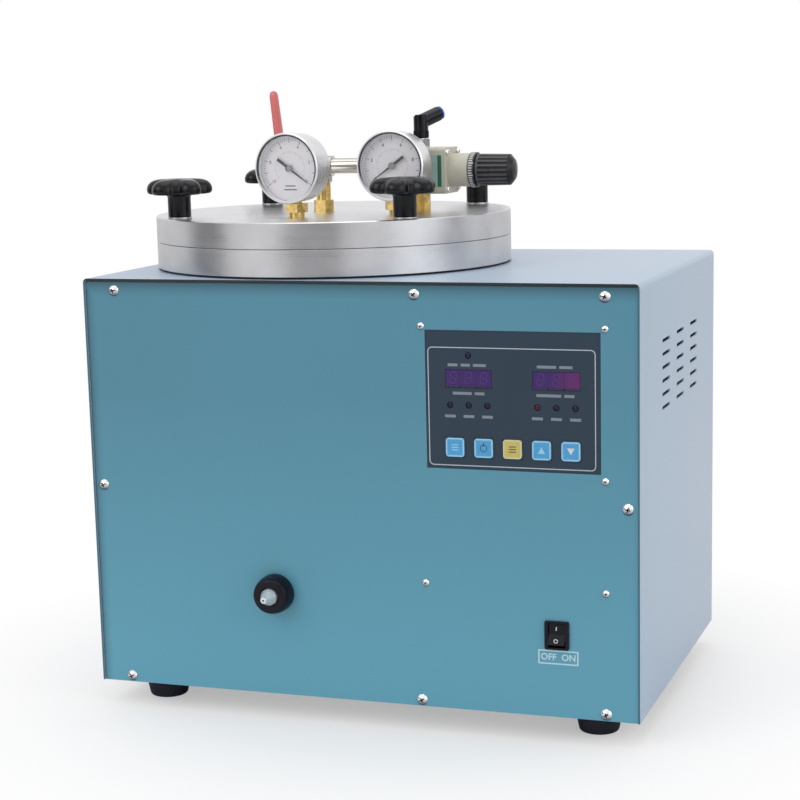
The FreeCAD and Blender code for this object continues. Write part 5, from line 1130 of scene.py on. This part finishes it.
class INJECTOR_OT_elbow_ribs(bpy.types.Operator):
    """Build the upright ribs round the elbow's sleeve"""

    bl_idname = "injector.elbow_ribs"
    bl_label = "Elbow ribs"

    def execute(self, context):
        place = at(*middle("elbow_base").xy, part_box("elbow_head")[0].z + 0.0008)
        rib = (0.0007, 0.0007, 0.006)
        ribs = arc_marks("black_gloss", place, 25, 0.0, 2 * math.pi, 0.00705, 1.0, rib, rib)
        settle("elbow_sleeve_ribs", "elbow", [ribs], weld=False)
        return {"FINISHED"}


class INJECTOR_OT_gauge_scales(bpy.types.Operator):
    """Print the two dials: marks, numbers and plain bars"""

    bl_idname = "injector.gauge_scales"
    bl_label = "Gauge scales"

    def execute(self, context):
        sizes = settings().gauges
        start = math.radians(215.5)
        # Fine and long marks of the outer and of the inner scale.
        outer = [(sizes.mark, 0.00022, FINE_PRINT), (sizes.long_mark, 0.00042, FINE_PRINT)]
        inner = [(0.0011, 0.0002, FINE_PRINT), (0.0019, 0.0003, FINE_PRINT)]
        # Radius of the ring of numbers.
        away = sizes.scale_radius - 0.0066
        for side, (hub, turn) in GAUGES.items():
            face = facing_front(*hub, turn) @ at(0, 0, -DIAL_FACE)
            parts = [
                arc_marks("black_ink", face, 51, start, -sizes.sweep, sizes.scale_radius, 5.0, *outer),
                arc_marks("red_ink", face, 31, start, -sizes.sweep, 0.015, 3.0, *inner),
            ]
            left = side == "left"
            for i in range(6):
                a = start - sizes.sweep * i / 5
                number = lettering(str(10 - 2 * i if left else 2 * i), sizes.number, 0.01)
                spot = at(away * math.cos(a), away * math.sin(a), 0.00003)
                parts.append((number, face @ spot, "red_ink" if left else "black_ink"))
            for drop, width in ((0.0155, 0.0100), (0.0188, 0.0126)):
                bar = plate(rounded(width, 0.0009, 0.0003), FINE_PRINT)
                parts.append((bar, face @ at(0, -drop, 0), "black_ink"))
            settle("gauge_scale_" + side, "lid", parts, weld=False)
        return {"FINISHED"}


class INJECTOR_OT_regulator_marks(bpy.types.Operator):
    """Build the regulator's scale ring marks, cover screws and plain label"""

    bl_idname = "injector.regulator_marks"
    bl_label = "Regulator marks"

    def execute(self, context):
        centre = middle("regulator_bonnet")
        # The marks start this far from the body's side of the bonnet.
        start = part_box("regulator_bonnet")[0].x + 0.0201
        ring = at(start, centre.y, centre.z) @ turned(90, "Y")
        sizes = [(0.0003, 0.0011, 0.0034), (0.0003, 0.0013, 0.0042)]
        marks = arc_marks("white_ink", ring, 45, 0.0, 2 * math.pi, 0.01577, 5.0, *sizes)
        settle("regulator_scale", "lid", [marks], weld=False)

        low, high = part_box("regulator_body")
        profile = [(0, -1), (2.6, -1), (2.6, 2.2), (2.2, 2.6), (1.4, 2.6), (1.3, 1), (0, 1)]
        parts = []
        for y in (low.y + 0.0042, low.y + 0.0358):
            for z in (low.z + 0.0042, low.z + 0.0368):
                parts.append((spin(profile, 20, MM), at(high.x, y, z) @ turned(90, "Y"), "chrome"))
        settle("regulator_cover_screws", "lid", parts)

        z = middle("regulator_body").z - 0.0002
        parts = [
            front_plate("teal_ink", 0.0217, low.y, z, LABEL, rounded(0.034, 0.029, 0.0008)),
            front_plate("green_ink", 0.0368, low.y - PRINT, z, LABEL, rounded(0.0036, 0.028, 0.0003)),
        ]
        settle("regulator_label", "lid", parts)
        return {"FINISHED"}


class INJECTOR_OT_control_print(bpy.types.Operator):
    """Print the controller's frame line, plain bars and digit modules"""

    bl_idname = "injector.control_print"
    bl_label = "Controller print"

    def execute(self, context):
        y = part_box("controller_overlay")[0].y
        line = rounded(0.1442, 0.1006, 0.004), rounded(0.1426, 0.0990, 0.0032)
        parts = [front_plate("grey_ink", CONTROL.x - 0.0011, y, CONTROL.z - 0.0058, PRINT, *line)]
        # Middle of each row of bars, and its bars' widths.
        (left, high), (right, _) = DISPLAYS
        rows = [
            (left - 0.0012, high + 0.0116, (0.0088, 0.0080, 0.0114)),
            (right - 0.0012, high + 0.0116, (0.0164, 0.0112)),
            (left, high - 0.0122, (0.0166, 0.0084)),
            (right - 0.0008, high - 0.0122, (0.0212, 0.0086)),
        ]
        for x in (left, right):
            rows += [(x + step, CONTROL.z - 0.0138, (0.0094,)) for step in (-LED_PITCH, 0, LED_PITCH)]
        gap = 0.0026
        for x, z, widths in rows:
            place = x - (sum(widths) + gap * (len(widths) - 1)) / 2
            for width in widths:
                bar = rounded(width, 0.0024, 0.0004)
                parts.append(front_plate("faint_ink", place + width / 2, y, z, PRINT, bar))
                place += width + gap
        settle("control_print", "cabinet", parts, weld=False)

        # Place of each segment of a digit, and whether it is upright.
        segments = [(0, dz, False) for dz in (0.0046, 0, -0.0046)]
        segments += [(dx, dz, True) for dz in (0.0023, -0.0023) for dx in (-0.0026, 0.0026)]
        parts = []
        for x, z in DISPLAYS:
            for step in (-0.00667, 0.00667):
                split = rounded(0.0009, 0.0148, 0.0002)
                parts.append(front_plate("gap_ink", x + step, y, z, FINE_PRINT, split))
            sill = rounded(0.0396, 0.0016, 0.0003)
            parts.append(front_plate("gap_ink", x, y, z - 0.0066, FINE_PRINT, sill))
            for step in (-0.0133, 0.0, 0.0133):
                for dx, dz, upright in segments:
                    size = (0.0008, 0.0038) if upright else (0.0044, 0.0008)
                    bar = rounded(*size, 0.00035, 2)
                    place = (x + step + dx + dz * 0.12, y, z + 0.0008 + dz)
                    parts.append(front_plate("segment_ink", *place, FINE_PRINT, bar))
        settle("digit_modules", "cabinet", parts, weld=False)
        return {"FINISHED"}


class INJECTOR_OT_key_signs(bpy.types.Operator):
    """Build the raised rims and plain signs of the five keys"""

    bl_idname = "injector.key_signs"
    bl_label = "Key signs"

    def execute(self, context):
        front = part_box("key_1")[0].y
        bars = [(rounded(0.0062, 0.0009, 0.0003), None, dz) for dz in (0.0022, 0, -0.0022)]
        power = [(circle(0.0032), circle(0.0024), 0), (rounded(0.0009, 0.0034, 0.0003), None, 0.0032)]
        arrow = [(0, -0.0028), (0.0033, 0.0028), (-0.0033, 0.0028)]
        down, up = [(arrow, None, 0)], [([(-x, -y) for x, y in arrow], None, 0)]
        inks = ("key_ink", "deep_ink", "deep_ink", "key_ink", "white_ink")
        for i, signs in enumerate((bars, power, bars, up, down)):
            x, z = KEYS[i]
            cap = "key_yellow" if i == 2 else "key_blue"
            rim = rounded(0.0159, 0.0159, 0.0025), rounded(0.0139, 0.0139, 0.0017)
            parts = [front_plate(cap, x, front, z, 0.0003, *rim)]
            for outline, hole, dz in signs:
                parts.append(front_plate(inks[i], x, front, z + dz, PRINT, outline, hole))
            settle(f"key_sign_{i + 1}", f"key_cap_{i + 1}", parts, weld=False)
        return {"FINISHED"}


class INJECTOR_OT_switch_marks(bpy.types.Operator):
    """Print the rocker's line and circle and the plain label under the switch"""

    bl_idname = "injector.switch_marks"
    bl_label = "Switch marks"

    def execute(self, context):
        centre = middle("rocker")
        # Angle of the rocker at rest, slope of its two halves and each mark's place on its half.
        tilt, slope, proud, away = -12.0, math.degrees(math.atan2(2.0, 9.0)), 0.0041, 0.0052
        rest = at(centre.x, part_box("switch_housing")[0].y + 0.0025, centre.z) @ turned(tilt, "X")
        on = plate(rounded(0.0008, 0.0034, 0.0003), PRINT)
        off = plate(circle(0.0019, 32), PRINT, circle(0.0012, 32))
        parts = []
        for shape, side in ((on, 1), (off, -1)):
            half = at(0, -proud, side * away) @ turned(side * -slope, "X") @ turned(90, "X")
            parts.append((shape, rest @ half, "white_ink"))
        settle("rocker_marks", "power_rocker", parts, weld=False)

        x, z = 0.1798, BASE + 0.0523
        rim = rounded(0.0350, 0.0124, 0.0004), rounded(0.0326, 0.0100, 0.0002)
        words = lettering("OFF  ON", 0.0078, 0.022)
        parts = [front_plate("label_ink", x, FRONT, z, LABEL, *rim)]
        parts.append((words, facing_front(x, FRONT - FINE_PRINT, z), "label_ink"))
        settle("switch_label", "cabinet", parts, weld=False)
        return {"FINISHED"}


class INJECTOR_OT_stage(bpy.types.Operator):
    """Set the floor, the white surroundings, the lamps and the camera"""

    bl_idname = "injector.stage"
    bl_label = "Stage"

    def execute(self, context):
        light = settings().stage
        scene = context.scene
        scene.view_settings.view_transform = "Standard"
        surroundings(light.sky)
        floor()
        lamp_at("key", (-1.3, -1.9, 1.7), (-0.05, 0, 0.25), 1.4, light.key)
        lamp_at("side", (2.1, -0.5, 1.1), (0.1, 0, 0.2), 1.6, light.side)
        lamp_at("top", (0.1, 0.1, 2.3), (0, 0, 0.2), 1.8, light.top)
        card("front_card", (0.45, -3.4, 0.30), (2.2, 1.1), 0.10)
        card("left_card", (-2.6, -1.2, 0.35), (1.4, 1.3), 0.08)
        card("right_card", (2.9, 0.4, 0.3), (1.2, 1.0), 0.25)
        camera = show("camera", bpy.data.cameras.new("camera"))
        camera.data.sensor_width = 36.0
        camera.data.lens = 86.778
        camera.data.shift_x = -0.0158
        camera.data.shift_y = 0.0570
        yaw, pitch, roll = (math.radians(a) for a in (19.0126, 10.3079, 1.28314))
        ahead = Vector((-math.sin(yaw) * math.cos(pitch), math.cos(yaw) * math.cos(pitch), -math.sin(pitch)))
        right = Vector((math.cos(yaw), math.sin(yaw), 0))
        down = ahead.cross(right)
        across = right * math.cos(roll) + down * math.sin(roll)
        up = right * math.sin(roll) - down * math.cos(roll)
        turn = Matrix((across, up, -ahead)).transposed()
        eye = (0.57756, -1.68504, BASE + 0.52122)
        camera.matrix_world = at(*eye) @ turn.to_4x4()
        scene.camera = camera
        return {"FINISHED"}


def lamp_at(name, place, target, size, power):
    """A square soft lamp that the camera doesn't see."""
    data = bpy.data.lights.new(name, "AREA")
    data.size = size
    data.energy = power
    made = show(name, data)
    made.location = place
    made.rotation_euler = (Vector(target) - Vector(place)).to_track_quat("-Z", "Y").to_euler()
    made.visible_camera = False


def card(name, place, size, level):
    """An upright grey card that only shows in reflections."""
    width, height = size[0] / 2, size[1] / 2
    corners = [(-width, 0, -height), (width, 0, -height), (width, 0, height), (-width, 0, height)]
    mesh = mesh_from(corners, [(0, 1, 2, 3)], name)
    mesh.transform(at(*place) @ Matrix.Rotation(math.atan2(-place[0], place[1]), 4, "Z"))
    look = Finish(name)
    grey = (level, level, level * 1.1, 1.0)
    look.surface(look.node("ShaderNodeEmission", inputs={"Color": grey, "Strength": 1.0}))
    mesh.materials.append(look.material)
    made = show(name, mesh)
    for ray in ("camera", "diffuse", "shadow", "transmission"):
        setattr(made, "visible_" + ray, False)


def surroundings(strength):
    """A white world that lights the object at a strength, and that shows at full white."""
    world = bpy.data.worlds.new("surroundings")
    bpy.context.scene.world = world
    world.use_nodes = True
    sky = Graph(world.node_tree)
    back = world.node_tree.nodes["Background"]
    back.inputs["Color"].default_value = (1.0, 1.0, 1.0, 1.0)
    outputs = sky.node("ShaderNodeLightPath").socket.node.outputs
    seen = either(Wire(sky, outputs[f"Is {ray} Ray"]) for ray in ("Camera", "Glossy", "Transmission"))
    level = seen * (1.0 - strength) + strength
    world.node_tree.links.new(level.socket, back.inputs["Strength"])


def floor():
    """A pale floor that fades to white in the camera's view."""
    spots = [(x, y, 0.0) for x, y in circle(8.0, 96)]
    disc = mesh_from(spots, [tuple(range(len(spots)))], "floor")
    look = Finish("floor")
    look.fix(Base_Color=(0.94, 0.94, 0.94, 1.0), Roughness=0.6)
    x, y, z = look.axes()
    away = (x * x + y * y).math("SQRT").ramp(0.24, 0.52)
    glow = look.node("ShaderNodeEmission", inputs={"Color": (1, 1, 1, 1), "Strength": 1.0})
    camera_ray = look.node("ShaderNodeLightPath", output="Is Camera Ray")
    share = (away * 0.6 + 0.4) * camera_ray
    plain = Wire(look, look.shader.outputs[0])
    look.surface(look.node("ShaderNodeMixShader", inputs={0: share, 1: plain, 2: glow}))
    disc.materials.append(look.material)
    show("floor", disc)


OPERATORS = (
    INJECTOR_OT_finishes,
    INJECTOR_OT_screws,
    INJECTOR_OT_star_knobs,
    INJECTOR_OT_nozzle_collar,
    INJECTOR_OT_lever_sleeve,
    INJECTOR_OT_elbow_ribs,
    INJECTOR_OT_gauge_scales,
    INJECTOR_OT_regulator_marks,
    INJECTOR_OT_control_print,
    INJECTOR_OT_key_signs,
    INJECTOR_OT_switch_marks,
    INJECTOR_OT_stage,
)


class INJECTOR_PT_pieces(bpy.types.Panel):
    """Buttons for the injector's pieces"""

    bl_label = "Wax injector"
    bl_idname = "INJECTOR_PT_pieces"
    bl_space_type = "VIEW_3D"
    bl_region_type = "UI"
    bl_category = "Injector"

    def draw(self, context):
        for operator in OPERATORS:
            self.layout.operator(operator.bl_idname)


SETTINGS = (PaintSettings, ScrewSettings, KnobSettings, GaugeSettings, StageSettings, InjectorSettings)


def register():
    """Register the settings, operators and panel."""
    for kind in SETTINGS + OPERATORS + (INJECTOR_PT_pieces,):
        bpy.utils.register_class(kind)
    bpy.types.Scene.injector = PointerProperty(type=InjectorSettings)


def unregister():
    """Take them out again."""
    del bpy.types.Scene.injector
    for kind in reversed(SETTINGS + OPERATORS + (INJECTOR_PT_pieces,)):
        bpy.utils.unregister_class(kind)


def main():
    """Build every piece in order."""
    register()
    for operator in OPERATORS:
        group, name = operator.bl_idname.split(".")
        getattr(getattr(bpy.ops, group), name)()


if __name__ == "__main__":
    main()
